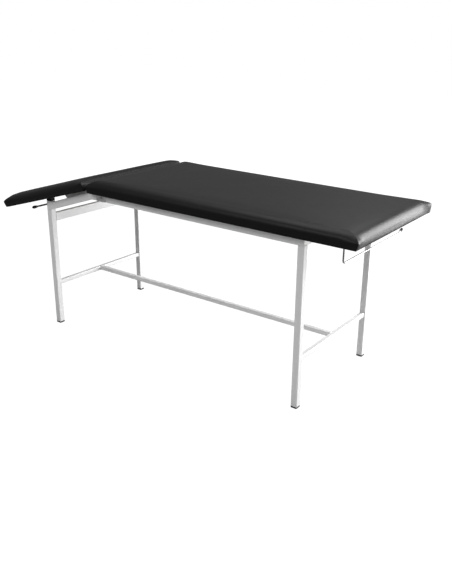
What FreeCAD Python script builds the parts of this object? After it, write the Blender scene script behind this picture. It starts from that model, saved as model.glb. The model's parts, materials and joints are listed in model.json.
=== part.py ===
import FreeCAD, Part
import math
import os
import re
import Sketcher

# Examination table with an adjustable head section.
# Millimetres, +Z up, floor at Z = 0, head end towards -X, foot end towards +X.
# The origin lies on the floor below the middle of the whole table.

VECTOR = FreeCAD.Vector
ALONG = VECTOR(1, 0, 0)
ACROSS = VECTOR(0, 1, 0)
UP = VECTOR(0, 0, 1)

SIZES = {
    # Welded tube frame
    "frame_width": 600,
    "leg_side": 28,
    "tube_wall": 1.5,
    "tube_corner": 3,
    "leg_spacing": 1380,
    "head_leg_x": -656.5,
    "head_leg_drop": 87,
    "rest_height": 709,
    "rail_height": 34,
    "rail_slope": 18.5,
    "slope_drop": 128,
    "low_bar_side": 20,
    "low_bar_top": 220,
    "head_bar_height": 40,
    "head_bar_depth": 20,
    "head_bar_drop": 147,
    "inner_bar_width": 20,
    "head_inner_bar_x": -250,
    "middle_inner_bar_x": 235,
    # Plastic ends of the legs
    "plug_rise": 8,
    "plug_depth": 22,
    "plug_core": 20,
    "plug_rib": 1.6,
    "plug_fit": 0.2,
    "cap_gap": 0.1,
    # Padded boards
    "pad_overhang": 28,
    "pad_thickness": 57,
    "pad_side_roll": 22,
    "pad_end_roll": 32,
    "board_thickness": 12,
    "board_inset": 8,
    "board_corner": 10,
    "soft_gap": 0.3,
    "board_screw_row": 190,
    "main_pad_clear": 20,
    "main_pad_length": 1322,
    "head_pad_length": 585,
    "head_tilt": 16.4,
    "head_range": 36,
    # Head section hinge
    "pivot_x": -383,
    "pivot_drop": 4,
    "board_above_pivot": 9.27,
    "board_over_pivot": 2.5,
    "pin_radius": 4,
    "pin_head_height": 3,
    "pin_clearance": 0.05,
    "side_gap": 0.1,
    "bracket_thickness": 5,
    "bracket_boss": 8,
    "bracket_bolt_away": 84,
    "bracket_bolt_drop": 19,
    "plate_length": 58,
    "plate_height": 28,
    "plate_thickness": 4,
    "arm_thickness": 4,
    "arm_height": 18,
    "arm_flange": 24,
    "arm_length": 200,
    "arm_gap": 1,
    "arm_screw_first": 40,
    "arm_screw_pitch": 70,
    # Stay that holds the raised head section
    "stay_pivot_back": 62,
    "stay_pivot_drop": 49,
    "stay_knee_away": 60,
    "stay_knee_drop": 106,
    "rod_behind_leg": 28.5,
    "rod_drop": 110,
    "rod_radius": 4,
    "rod_overhang": 62,
    "stay_ratio": 1.3,
    "stay_stand_off": 17,
    "stay_thickness": 5,
    "stay_half_height": 8,
    "stud_boss": 7,
    "knob_length": 26,
    "knob_radius": 7,
    "knob_cover": 8,
    # Notched rack below the head board
    "rack_lane": 22,
    "rack_thickness": 4,
    "rack_flange": 20,
    "rack_clearance": 1,
    "notch_fit": 0.3,
    "rack_tail": 16,
    "rack_hook": 7,
    "rack_screw_low": -322,
    "rack_screw_high": -286,
    # Paper roll holder below the foot end
    "roll_from_end": 125,
    "roll_arm_y": -172,
    "roll_drop": 112,
    "roll_tip_y": 333,
    "roll_end_rise": 19,
    "roll_end_length": 35.5,
    "roll_radius": 3.5,
    "roll_bend": 14,
    "roll_plate_side": 44,
    "roll_plate_thickness": 3,
    "roll_cap_length": 14,
    "roll_cap_wall": 2.2,
    # Fasteners
    "screw_radius": 3,
    "screw_fit": 0.1,
    "screw_bite": 9,
    "screw_head": 5.5,
    "screw_head_height": 3.2,
    "socket_radius": 2,
    "bolt_radius": 4,
    "bolt_head_radius": 7,
    "bolt_head_height": 4.5,
    "nut_across": 13,
    "nut_height": 6.5,
    "washer_radius": 8,
    "washer_thickness": 1.6,
    # Broken edges, and the reach past an edge that a cutting profile needs
    "edge_break": 1,
    "margin": 2,
}

# Places that follow from the sizes above, kept as formulas in the same sheet
PLACES = {
    "head_leg_top": "rest_height - head_leg_drop",
    "slope_foot_height": "rest_height - slope_drop",
    "head_bar_top": "rest_height - head_bar_drop",
    "pad_width": "frame_width + 2 * pad_overhang",
    "main_pad_start": "pivot_x + main_pad_clear",
    "pivot_z": "rest_height - pivot_drop",
    "bracket_bolt_x": "pivot_x + bracket_bolt_away",
    "bracket_bolt_z": "rest_height - bracket_bolt_drop",
    "arm_lane": "frame_width / 2 - leg_side - bracket_thickness - arm_gap",
    "stay_pivot_x": "pivot_x - stay_pivot_back",
    "stay_pivot_z": "rest_height - stay_pivot_drop",
    "rod_x": "head_leg_x - rod_behind_leg",
    "rod_z": "rest_height - rod_drop",
    "stay_knee_x": "rod_x + stay_knee_away",
    "stay_knee_z": "rest_height - stay_knee_drop",
    "stay_lane": "frame_width / 2 - leg_side - stay_stand_off",
    "rod_reach": "frame_width / 2 + rod_overhang",
    "knob_reach": "rod_reach + knob_cover",
    "roll_x": "main_pad_start + main_pad_length - roll_from_end",
    "roll_arm_z": "rest_height - roll_drop",
}

DOC = FreeCAD.newDocument("ExaminationTable")
SHEET = DOC.addObject("Spreadsheet::Sheet", "Sizes")
EXPORTS = []


def fill_sheet():
    formulas = {name: f"={formula}" for name, formula in PLACES.items()}
    for row, (name, value) in enumerate((SIZES | formulas).items(), start=1):
        SHEET.set(f"A{row}", name)
        SHEET.set(f"B{row}", str(value))
        SHEET.setAlias(f"B{row}", name)
    DOC.recompute()


def bind(expression):
    """Turn plain size names into references to the sheet."""
    def reference(match):
        word = match.group(0)
        return f"Sizes.{word}" if word in SIZES or word in PLACES else word
    return re.sub(r"[a-z_]+", reference, str(expression))


def number(expression):
    """Value of an expression in millimetres or degrees."""
    value = SHEET.evalExpression(bind(expression))
    return float(getattr(value, "Value", value))


def negative(expression):
    return f"-({expression})"


# Positions that several pieces share
RAIL_BOTTOM = "(rest_height - rail_height)"
HALF_WIDTH = "(frame_width / 2)"
INNER_FACE = "(frame_width / 2 - leg_side)"
LEG_LINE = "(frame_width / 2 - leg_side / 2)"
HEAD_LEG_FACE = "(head_leg_x + leg_side / 2)"
FOOT_LEG_X = "(head_leg_x + leg_spacing)"
FOOT_LEG_FACE = "(head_leg_x + leg_spacing + leg_side / 2)"
SLOPE_RUN = "((rest_height - rail_height - slope_foot_height) / tan(rail_slope))"
MITRE_X = f"({HEAD_LEG_FACE} + {SLOPE_RUN})"
BAR_BORE = "(leg_side - 2 * tube_wall)"
TUBE_REACH = "(frame_width - 2 * leg_side)"
BOARD_FLOOR = "board_above_pivot"


def new_body(label, x="0", y="0", z="0", turn=None, axis=ACROSS):
    """Empty body with its own label and a placement bound to the sheet."""
    body = DOC.addObject("PartDesign::Body", label)
    body.Label = label
    body.AllowCompound = True
    if turn is not None:
        body.Placement = FreeCAD.Placement(VECTOR(), FreeCAD.Rotation(axis, number(turn)))
        body.setExpression("Placement.Rotation.Angle", bind(turn))
    for axis, value in zip("xyz", (x, y, z)):
        body.setExpression(f"Placement.Base.{axis}", bind(value))
    return body


def new_sketch(body, plane, offset="0"):
    """Sketch on an origin plane of the body, moved along the plane's normal."""
    sketch = body.newObject("Sketcher::SketchObject", "Profile")
    support = [item for item in body.Origin.OriginFeatures if item.Role == plane][0]
    sketch.AttachmentSupport = (support, [""])
    sketch.MapMode = "FlatFace"
    sketch.setExpression("AttachmentOffset.Base.z", bind(offset))
    return sketch


def bind_point(sketch, index, point, x, y):
    for kind, value in (("DistanceX", x), ("DistanceY", y)):
        place = sketch.addConstraint(Sketcher.Constraint(kind, -1, 1, index, point, number(value)))
        sketch.setExpression(f"Constraints[{place}]", bind(value))


def add_arc(sketch, start, finish, centre, radius):
    """Arc between two corners; returns the numbers of its ends in their order."""
    middle = VECTOR(number(centre[0]), number(centre[1]), 0)
    ends = [start - middle, finish - middle]
    to_the_left = ends[0].cross(ends[1]).z > 0
    angles = [math.atan2(end.y, end.x) for end in (ends if to_the_left else reversed(ends))]
    circle = Part.Circle(middle, UP, number(radius))
    index = sketch.addGeometry(Part.ArcOfCircle(circle, *angles), False)
    place = sketch.addConstraint(Sketcher.Constraint("Radius", index, number(radius)))
    sketch.setExpression(f"Constraints[{place}]", bind(radius))
    return (1, 2) if to_the_left else (2, 1)


def outline(sketch, points, arcs=None, closed=True):
    """Outline with every corner bound to the sheet; arcs holds centre and radius of round edges."""
    arcs = arcs or {}
    corners = [VECTOR(number(x), number(y), 0) for x, y in points]
    first = sketch.GeometryCount
    total = len(points) if closed else len(points) - 1
    ends = []
    for index in range(total):
        start, finish = corners[index], corners[(index + 1) % len(points)]
        if index in arcs:
            ends.append(add_arc(sketch, start, finish, *arcs[index]))
        else:
            sketch.addGeometry(Part.LineSegment(start, finish), False)
            ends.append((1, 2))
    for index in range(total if closed else total - 1):
        following = (index + 1) % total
        sketch.addConstraint(Sketcher.Constraint("Coincident", first + index, ends[index][1],
                                                 first + following, ends[following][0]))
    for index in range(total):
        bind_point(sketch, first + index, ends[index][0], *points[index])
    if not closed:
        bind_point(sketch, first + total - 1, ends[-1][1], *points[-1])


def beyond_round(sketch, x, y, side, radius):
    """Waste outside the rounded upper corner x, y; side is 1 on the right and -1 on the left."""
    inside = f"{x} - {side} * {radius}"
    outside = f"{x} + {side} * margin"
    low = f"{y} - {radius}"
    high = f"{y} + margin"
    points = [(x, low), (outside, low), (outside, high), (inside, high), (inside, y)]
    outline(sketch, points, {4: ((inside, low), radius)})


def rectangle(sketch, x, y, width, height):
    """Rectangle around the centre x, y."""
    left = f"{x} - ({width}) / 2"
    right = f"{x} + ({width}) / 2"
    bottom = f"{y} - ({height}) / 2"
    top = f"{y} + ({height}) / 2"
    outline(sketch, [(left, bottom), (right, bottom), (right, top), (left, top)])


def disc(sketch, x, y, radius):
    centre = VECTOR(number(x), number(y), 0)
    index = sketch.addGeometry(Part.Circle(centre, UP, number(radius)), False)
    bind_point(sketch, index, 3, x, y)
    place = sketch.addConstraint(Sketcher.Constraint("Radius", index, number(radius)))
    sketch.setExpression(f"Constraints[{place}]", bind(radius))


def hexagon(sketch, x, y, across):
    """Hexagon with two corners on the sketch's own X direction."""
    corner = f"({across}) / sqrt(3)"
    turns = range(0, 360, 60)
    outline(sketch, [(f"{x} + {corner} * cos({turn})", f"{y} + {corner} * sin({turn})") for turn in turns])


def extrude(body, kind, sketch, length, reverse=False, symmetric=False):
    feature = body.newObject(kind, "Extrusion")
    feature.Profile = sketch
    feature.Reversed = reverse
    if symmetric:
        feature.SideType = "Symmetric"
    feature.Length = number(length)
    feature.setExpression("Length", bind(length))
    sketch.Visibility = False
    DOC.recompute()
    return feature


def pad(body, sketch, length, reverse=False, symmetric=False):
    return extrude(body, "PartDesign::Pad", sketch, length, reverse, symmetric)


def cut(body, sketch, length, reverse=False, symmetric=False):
    before = body.Shape.Volume
    feature = extrude(body, "PartDesign::Pocket", sketch, length, reverse, symmetric)
    if body.Shape.Volume >= before:
        raise ValueError(f"a cut in {body.Label} removes nothing")
    return feature


def soften(body, kind, size, chosen):
    """Fillet or chamfer on the edges that the test picks out."""
    base = body.Tip
    names = [f"Edge{i}" for i, edge in enumerate(base.Shape.Edges, start=1) if chosen(edge)]
    feature = body.newObject(f"PartDesign::{kind}", kind)
    feature.Base = (base, names)
    name = "Radius" if kind == "Fillet" else "Size"
    setattr(feature, name, number(size))
    feature.setExpression(name, bind(size))
    DOC.recompute()
    return feature


def runs_along(edge, direction):
    if not isinstance(edge.Curve, (Part.Line, Part.LineSegment)):
        return False
    return abs(edge.tangentAt(edge.FirstParameter).dot(direction)) > 0.999


def at_level(edge, axis, level):
    box = edge.BoundBox
    low = getattr(box, f"{axis}Min")
    high = getattr(box, f"{axis}Max")
    return abs(low - level) < 0.001 and abs(high - level) < 0.001


def export(item):
    EXPORTS.append(item)
    return item


def far_copy(label, source):
    """Mirror image of a near side piece on the far side of the table."""
    copy = DOC.addObject("Part::Mirroring", label)
    copy.Label = label
    copy.Source = source
    copy.Normal = ACROSS
    DOC.recompute()
    return copy


def pair(label, source):
    """Node made of a near side piece and its mirror image."""
    group = DOC.addObject("Part::Compound", label)
    group.Label = label
    group.Links = [source, far_copy(f"{source.Label}_far", source)]
    DOC.recompute()
    return group


def both_sides(name, source):
    """Two nodes, one for each side of the table."""
    export(source)
    export(far_copy(f"{name}_far", source))


def square_tube(body, plane, direction, centre, sides, length, reverse=False, corner="tube_corner"):
    """Hollow tube with rounded corners along a direction."""
    sketch = new_sketch(body, plane)
    rectangle(sketch, *centre, *sides)
    rectangle(sketch, *centre, f"({sides[0]}) - 2 * tube_wall", f"({sides[1]}) - 2 * tube_wall")
    pad(body, sketch, length, reverse=reverse)
    middle = body.Tip.Shape.BoundBox.Center
    reach = (number(sides[0]) ** 2 + number(sides[1]) ** 2) ** 0.5 / 2 - 0.5

    def distance(edge):
        offset = edge.CenterOfMass - middle
        return (offset - direction * offset.dot(direction)).Length

    soften(body, "Fillet", corner, lambda edge: runs_along(edge, direction) and distance(edge) > reach)
    inner = f"{corner} - tube_wall"
    soften(body, "Fillet", inner, lambda edge: runs_along(edge, direction)
           and distance(edge) < reach and 0.5 < distance(edge))


# Frame


def head_legs():
    body = new_body("leg_head_near", "head_leg_x", negative(LEG_LINE), "plug_rise")
    square_tube(body, "XY_Plane", UP, ("0", "0"), ("leg_side", "leg_side"),
                "head_leg_top - plug_rise")
    both_sides("leg_head", body)


def foot_legs():
    body = new_body("leg_foot_near", FOOT_LEG_X, negative(LEG_LINE), "plug_rise")
    square_tube(body, "XY_Plane", UP, ("0", "0"), ("leg_side", "leg_side"),
                f"{RAIL_BOTTOM} - plug_rise")
    both_sides("leg_foot", body)


def side_rails():
    """Level rails, mitred in plan at the foot end and in side view at the head end."""
    body = new_body("side_rail_near", FOOT_LEG_FACE, negative(HALF_WIDTH), "rest_height")
    rise = "tan(rail_slope / 2)"
    mitre = f"({MITRE_X} - {FOOT_LEG_FACE})"
    length = f"-{mitre} + rail_height * {rise}"
    square_tube(body, "YZ_Plane", ALONG, ("leg_side / 2", "-rail_height / 2"),
                ("leg_side", "rail_height"), length, reverse=True)
    plan = new_sketch(body, "XY_Plane")
    outline(plan, [("margin", "-margin"), ("margin", "leg_side + margin"),
                   ("-leg_side - margin", "leg_side + margin")])
    cut(body, plan, "3 * rail_height", symmetric=True)
    side = new_sketch(body, "XZ_Plane")
    outline(side, [
        (f"{mitre} + margin * {rise}", "-rail_height - margin"),
        (f"{mitre} - (rail_height + margin) * {rise}", "margin"),
        (f"{mitre} - 2 * rail_height", "margin"),
        (f"{mitre} - 2 * rail_height", "-rail_height - margin"),
    ])
    cut(body, side, "4 * leg_side", symmetric=True)
    bolt_hole = new_sketch(body, "XZ_Plane")
    disc(bolt_hole, f"bracket_bolt_x - {FOOT_LEG_FACE}", "bracket_bolt_z - rest_height",
         "bolt_radius + screw_fit")
    cut(body, bolt_hole, "4 * leg_side", symmetric=True)
    both_sides("side_rail", body)


def sloped_rails():
    """Rails that fall from the level rails to the short head legs."""
    body = new_body("sloped_rail_near", MITRE_X, negative(HALF_WIDTH), RAIL_BOTTOM,
                    turn=negative("rail_slope"))
    rise = "tan(rail_slope / 2)"
    fall = "tan(rail_slope)"
    leg_end = f"(-{SLOPE_RUN} / cos(rail_slope))"
    sketch = new_sketch(body, "YZ_Plane", leg_end)
    rectangle(sketch, "leg_side / 2", "rail_height / 2", "leg_side", "rail_height")
    rectangle(sketch, "leg_side / 2", "rail_height / 2",
              BAR_BORE, "rail_height - 2 * tube_wall")
    pad(body, sketch, f"-{leg_end} + rail_height * {rise}")
    outer = {0.0, number("leg_side")}

    def on_outside(edge):
        return any(abs(edge.CenterOfMass.y - side) < 0.001 for side in outer)

    soften(body, "Fillet", "tube_corner", lambda edge: runs_along(edge, ALONG) and on_outside(edge))
    bore = {number("tube_wall"), number("leg_side - tube_wall")}
    soften(body, "Fillet", "tube_corner - tube_wall", lambda edge: runs_along(edge, ALONG)
           and any(abs(edge.CenterOfMass.y - side) < 0.001 for side in bore)
           and min(abs(edge.CenterOfMass.z - number(level)) for level in
                   ("tube_wall", "rail_height - tube_wall")) < 0.001)
    ends = new_sketch(body, "XZ_Plane")
    outline(ends, [
        (f"-margin * {rise}", "-margin"),
        (f"(rail_height + margin) * {rise}", "rail_height + margin"),
        ("2 * rail_height", "rail_height + margin"),
        ("2 * rail_height", "-margin"),
    ])
    outline(ends, [
        (f"{leg_end} - margin * {fall}", "-margin"),
        (f"{leg_end} + (rail_height + margin) * {fall}", "rail_height + margin"),
        (f"{leg_end} - rail_height", "rail_height + margin"),
        (f"{leg_end} - rail_height", "-margin"),
    ])
    cut(body, ends, "4 * leg_side", symmetric=True)
    both_sides("sloped_rail", body)


def upper_crossbars():
    """Mitred bar at the foot end, deep bar between the head legs and two bars below the pad."""
    foot = new_body("upper_crossbar_foot", FOOT_LEG_FACE, negative(HALF_WIDTH), "rest_height")
    square_tube(foot, "XZ_Plane", ACROSS, ("-leg_side / 2", "-rail_height / 2"),
                ("leg_side", "rail_height"), "frame_width", reverse=True)
    plan = new_sketch(foot, "XY_Plane")
    for start, turn in (("0", "1"), ("frame_width", "-1")):
        outline(plan, [
            ("margin", f"{start} - {turn} * margin"),
            ("-leg_side - margin", f"{start} + {turn} * (leg_side + margin)"),
            ("-leg_side - margin", f"{start} - {turn} * margin"),
        ])
    cut(foot, plan, "3 * rail_height", symmetric=True)
    export(foot)

    head = new_body("upper_crossbar_head", HEAD_LEG_FACE, negative(INNER_FACE), "head_bar_top")
    square_tube(head, "XZ_Plane", ACROSS, ("-head_bar_depth / 2", "-head_bar_height / 2"),
                ("head_bar_depth", "head_bar_height"), TUBE_REACH, reverse=True)
    export(head)

    for label, position in (("inner_crossbar_head", "head_inner_bar_x"),
                            ("inner_crossbar_middle", "middle_inner_bar_x")):
        bar = new_body(label, position, negative(INNER_FACE), "rest_height")
        square_tube(bar, "XZ_Plane", ACROSS, ("0", "-rail_height / 2"),
                    ("inner_bar_width", "rail_height"), TUBE_REACH, reverse=True)
        holes = new_sketch(bar, "XY_Plane")
        for place in BOARD_SCREW_ROWS:
            disc(holes, "0", f"{INNER_FACE} + {place}", "screw_radius + screw_fit")
        cut(bar, holes, "3 * rail_height", symmetric=True)
        export(bar)


def low_bars():
    """Low bars between the legs and the stretcher along the middle of the table."""
    sides = ("low_bar_side", "low_bar_side")
    for label, position in (("low_crossbar_head", "head_leg_x"), ("low_crossbar_foot", FOOT_LEG_X)):
        bar = new_body(label, position, negative(INNER_FACE), "low_bar_top")
        square_tube(bar, "XZ_Plane", ACROSS, ("0", "-low_bar_side / 2"), sides,
                    TUBE_REACH, reverse=True)
        export(bar)
    stretcher = new_body("low_stretcher", "head_leg_x + low_bar_side / 2", "0", "low_bar_top")
    square_tube(stretcher, "YZ_Plane", ALONG, ("0", "-low_bar_side / 2"), sides,
                "leg_spacing - low_bar_side")
    export(stretcher)


def floor_plugs():
    """Ribbed plastic plugs in the lower ends of the four legs."""
    body = new_body("floor_plugs", "head_leg_x", "0", "0")
    places = [(x, y) for x in ("0", "leg_spacing") for y in (LEG_LINE, negative(LEG_LINE))]
    foot = new_sketch(body, "XY_Plane")
    for x, y in places:
        rectangle(foot, x, y, "leg_side", "leg_side")
    pad(body, foot, "plug_rise")
    soften(body, "Fillet", "tube_corner", lambda edge: runs_along(edge, UP))
    soften(body, "Chamfer", "tube_wall", lambda edge: at_level(edge, "Z", 0))
    core = new_sketch(body, "XY_Plane", "plug_rise")
    for x, y in places:
        rectangle(core, x, y, "plug_core", "plug_core")
    pad(body, core, "plug_depth")
    for rib in range(3):
        ring = new_sketch(body, "XY_Plane", f"plug_rise + plug_rib + {rib} * 4 * plug_rib")
        for x, y in places:
            rectangle(ring, x, y, f"{BAR_BORE} - 2 * plug_fit", f"{BAR_BORE} - 2 * plug_fit")
        pad(body, ring, "plug_rib")
    width = number(f"{BAR_BORE} / 2 - plug_fit")
    legs = [number("0"), number("leg_spacing")]

    def rib_corner(edge):
        sideways = min(abs(edge.CenterOfMass.x - leg) for leg in legs)
        return runs_along(edge, UP) and abs(sideways - width) < 0.001

    soften(body, "Fillet", "tube_corner - tube_wall", rib_corner)
    export(body)


def head_leg_caps():
    """Square caps on the head legs, cut to the slope of the board that rests on them."""
    body = new_body("head_leg_caps", "head_leg_x", "0", "head_leg_top")
    slope = "tan(head_tilt)"
    seat = ("(pivot_z - head_leg_top + board_above_pivot / cos(head_tilt)"
            f" + (head_leg_x - pivot_x) * {slope} - cap_gap)")
    half = "(leg_side / 2 + margin)"
    top = new_sketch(body, "XY_Plane")
    insert = new_sketch(body, "XY_Plane")
    for y in (LEG_LINE, negative(LEG_LINE)):
        rectangle(top, "0", y, "leg_side", "leg_side")
        rectangle(insert, "0", y, f"{BAR_BORE} - 2 * plug_fit", f"{BAR_BORE} - 2 * plug_fit")
    pad(body, top, "leg_side")
    soften(body, "Fillet", "tube_corner", lambda edge: runs_along(edge, UP))
    pad(body, insert, "plug_depth", reverse=True)
    inner = number(f"{BAR_BORE} / 2 - plug_fit")
    soften(body, "Fillet", "tube_corner - tube_wall", lambda edge: runs_along(edge, UP)
           and abs(abs(edge.CenterOfMass.x) - inner) < 0.001)
    slice_off = new_sketch(body, "XZ_Plane")
    outline(slice_off, [
        (negative(half), f"{seat} - {half} * {slope}"),
        (half, f"{seat} + {half} * {slope}"),
        (half, "2 * leg_side"),
        (negative(half), "2 * leg_side"),
    ])
    cut(body, slice_off, "2 * frame_width", symmetric=True)
    export(body)


# Fasteners

BOARD_SCREW_ROWS = (negative("board_screw_row"), "board_screw_row")


def screws(label, turn, origin, places, reach):
    """Button head screws with hexagon sockets that point up from below."""
    body = new_body(label, *origin, turn=turn)
    shank = new_sketch(body, "XY_Plane")
    head = new_sketch(body, "XY_Plane")
    socket = new_sketch(body, "XY_Plane", "-screw_head_height")
    for x, y in places:
        disc(shank, x, y, "screw_radius")
        disc(head, x, y, "screw_head")
        hexagon(socket, x, y, "2 * socket_radius")
    pad(body, shank, reach)
    pad(body, head, "screw_head_height", reverse=True)
    low = -number("screw_head_height")
    soften(body, "Fillet", "screw_head_height / 2", lambda edge: at_level(edge, "Z", low))
    cut(body, socket, "screw_head_height / 2", reverse=True)
    export(body)


def main_board_screws():
    places = [(x, y) for x in ("head_inner_bar_x", "middle_inner_bar_x") for y in BOARD_SCREW_ROWS]
    screws("main_board_screws", None, ("0", "0", RAIL_BOTTOM), places, "rail_height + screw_bite")


# Padded boards


def board(label, start, length, origin, level, turn, pilot_places):
    """Plywood board with rounded corners and pilot holes from below."""
    body = new_body(label, *origin, turn=turn)
    sketch = new_sketch(body, "XY_Plane", level)
    width = "pad_width - 2 * board_inset"
    rectangle(sketch, f"{start} + ({length}) / 2", "0", f"{length} - 2 * board_inset", width)
    pad(body, sketch, "board_thickness")
    soften(body, "Fillet", "board_corner", lambda edge: runs_along(edge, UP))
    pilots = new_sketch(body, "XY_Plane", level)
    for x, y in pilot_places:
        disc(pilots, x, y, "screw_radius + screw_fit")
    cut(body, pilots, "screw_bite + edge_break", reverse=True)
    export(body)


def cushion(label, start, length, origin, level, turn):
    """Foam pad in its cover, rolled at the ends and sides with mitred folds at the corners."""
    body = new_body(label, *origin, turn=turn)
    low = f"{level} + soft_gap"
    top = f"{level} + pad_thickness"
    middle = f"{start} + ({length}) / 2"
    sketch = new_sketch(body, "XY_Plane", low)
    rectangle(sketch, middle, "0", length, "pad_width")
    pad(body, sketch, "pad_thickness - soft_gap")
    ends = new_sketch(body, "XZ_Plane")
    beyond_round(ends, start, top, "(-1)", "pad_end_roll")
    beyond_round(ends, f"{start} + {length}", top, "1", "pad_end_roll")
    cut(body, ends, "4 * frame_width", symmetric=True)
    sides = new_sketch(body, "YZ_Plane")
    beyond_round(sides, "-pad_width / 2", top, "(-1)", "pad_side_roll")
    beyond_round(sides, "pad_width / 2", top, "1", "pad_side_roll")
    cut(body, sides, "4 * main_pad_length", symmetric=True)
    recess = new_sketch(body, "XY_Plane", low)
    rim = "(2 * board_inset - 2 * soft_gap)"
    rectangle(recess, middle, "0", f"{length} - {rim}", f"pad_width - {rim}")
    cut(body, recess, "board_thickness", reverse=True)
    export(body)


def main_pad():
    level = "rest_height"
    origin = ("0", "0", "0")
    pilots = [(x, y) for x in ("head_inner_bar_x", "middle_inner_bar_x") for y in BOARD_SCREW_ROWS]
    pilots += roll_screw_places("roll_x", "roll_arm_y")
    board("main_board", "main_pad_start", "main_pad_length", origin, level, None, pilots)
    cushion("main_cushion", "main_pad_start", "main_pad_length", origin, level, None)


HEAD_ORIGIN = ("pivot_x", "0", "pivot_z")
HEAD_TURN = negative("head_tilt")
HEAD_START = "(board_over_pivot - head_pad_length)"
ARM_SCREWS = tuple(f"-(arm_screw_first + {index} * arm_screw_pitch)" for index in range(3))
ARM_SCREW_LINE = "(arm_lane - arm_flange * 2 / 3)"
RACK_SCREWS = ("rack_screw_low", "rack_screw_high")
RACK_SCREW_LINE = "(rack_lane + rack_thickness + rack_flange / 2)"


def both_rows(xs, line):
    return [(x, y) for x in xs for y in (line, negative(line))]


def head_pad():
    pilots = both_rows(ARM_SCREWS, ARM_SCREW_LINE) + both_rows(RACK_SCREWS, RACK_SCREW_LINE)
    board("head_board", HEAD_START, "head_pad_length", HEAD_ORIGIN, BOARD_FLOOR, HEAD_TURN, pilots)
    cushion("head_cushion", HEAD_START, "head_pad_length", HEAD_ORIGIN, BOARD_FLOOR, HEAD_TURN)


# Hinge of the head section


def plate_along_y(body, points, start, thickness, holes=()):
    """Flat plate parallel to the table's side, from start towards the middle of the table."""
    sketch = new_sketch(body, "XZ_Plane", start)
    outline(sketch, points)
    for hole in holes:
        disc(sketch, *hole)
    return pad(body, sketch, thickness, reverse=True)


def bracket_plates():
    """Outer backing plates of the hinge brackets, one bolt each."""
    body = new_body("bracket_plate", "bracket_bolt_x", "0", "bracket_bolt_z")
    half = "plate_length / 2"
    lean = "plate_height / 2 * tan(rail_slope / 2)"
    points = [
        (f"-{half} + {lean}", "-plate_height / 2"),
        (half, "-plate_height / 2"),
        (half, "plate_height / 2"),
        (f"-{half} - {lean}", "plate_height / 2"),
    ]
    hole = ("0", "0", "bolt_radius + screw_fit")
    plate_along_y(body, points, f"{HALF_WIDTH} + plate_thickness", "plate_thickness", [hole])
    soften(body, "Fillet", "tube_corner", lambda edge: runs_along(edge, ACROSS))
    outer = -number(f"{HALF_WIDTH} + plate_thickness")
    soften(body, "Chamfer", "tube_wall / 2", lambda edge: at_level(edge, "Y", outer)
           and not isinstance(edge.Curve, Part.Circle) or
           at_level(edge, "Y", outer) and edge.Curve.Radius < number("bolt_radius"))
    export(pair("bracket_plates", body))


def hinge_brackets():
    """Plates inside the rails that carry the head section's pivots."""
    body = new_body("hinge_bracket_near", "pivot_x", "0", "pivot_z")
    bolt_x = "(bracket_bolt_x - pivot_x)"
    bolt_z = "(bracket_bolt_z - pivot_z)"
    tail = f"{bolt_x} + 2 * washer_radius"
    start = INNER_FACE
    points = [
        ("0", "-bracket_boss"),
        (f"{bolt_x} / 2", f"{bolt_z} - washer_radius"),
        (tail, f"{bolt_z} - washer_radius"),
        (tail, f"{bolt_z} + washer_radius"),
        ("2.5 * bracket_boss", "bracket_boss / 4"),
        ("0", "bracket_boss"),
    ]
    plate_along_y(body, points, start, "bracket_thickness")
    boss = new_sketch(body, "XZ_Plane", start)
    disc(boss, "0", "0", "bracket_boss")
    pad(body, boss, "bracket_thickness", reverse=True)
    holes = new_sketch(body, "XZ_Plane")
    disc(holes, "0", "0", "pin_radius + screw_fit")
    disc(holes, bolt_x, bolt_z, "bolt_radius + screw_fit")
    cut(body, holes, "2 * frame_width", symmetric=True)
    both_sides("hinge_bracket", body)


def bracket_bolts():
    """Bolts from the outer plate through the rail into the bracket, with washers and nuts."""
    body = new_body("bracket_bolt", "bracket_bolt_x", "0", "bracket_bolt_z")
    face = f"({HALF_WIDTH} + plate_thickness)"
    inner = f"({INNER_FACE} - bracket_thickness)"
    head = new_sketch(body, "XZ_Plane", face)
    disc(head, "0", "0", "bolt_head_radius")
    pad(body, head, "bolt_head_height")
    level = -number(f"{face} + bolt_head_height")
    soften(body, "Fillet", "bolt_head_height / 2", lambda edge: at_level(edge, "Y", level))
    shank = new_sketch(body, "XZ_Plane", face)
    disc(shank, "0", "0", "bolt_radius")
    pad(body, shank, f"{face} - {inner} + washer_thickness + nut_height + 2 * edge_break", reverse=True)
    socket = new_sketch(body, "XZ_Plane", f"{face} + bolt_head_height")
    hexagon(socket, "0", "0", "bolt_radius + edge_break")
    cut(body, socket, "bolt_head_height / 2")
    export(pair("bracket_bolts", body))

    washer = new_body("bracket_washer", "bracket_bolt_x", "0", "bracket_bolt_z")
    ring = new_sketch(washer, "XZ_Plane", inner)
    disc(ring, "0", "0", "washer_radius")
    disc(ring, "0", "0", "bolt_radius + screw_fit")
    pad(washer, ring, "washer_thickness", reverse=True)
    export(pair("bracket_washers", washer))

    nut = new_body("bracket_nut", "bracket_bolt_x", "0", "bracket_bolt_z")
    six = new_sketch(nut, "XZ_Plane", f"{inner} - washer_thickness")
    hexagon(six, "0", "0", "nut_across")
    disc(six, "0", "0", "bolt_radius + screw_fit")
    pad(nut, six, "nut_height", reverse=True)
    export(pair("bracket_nuts", nut))


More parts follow.
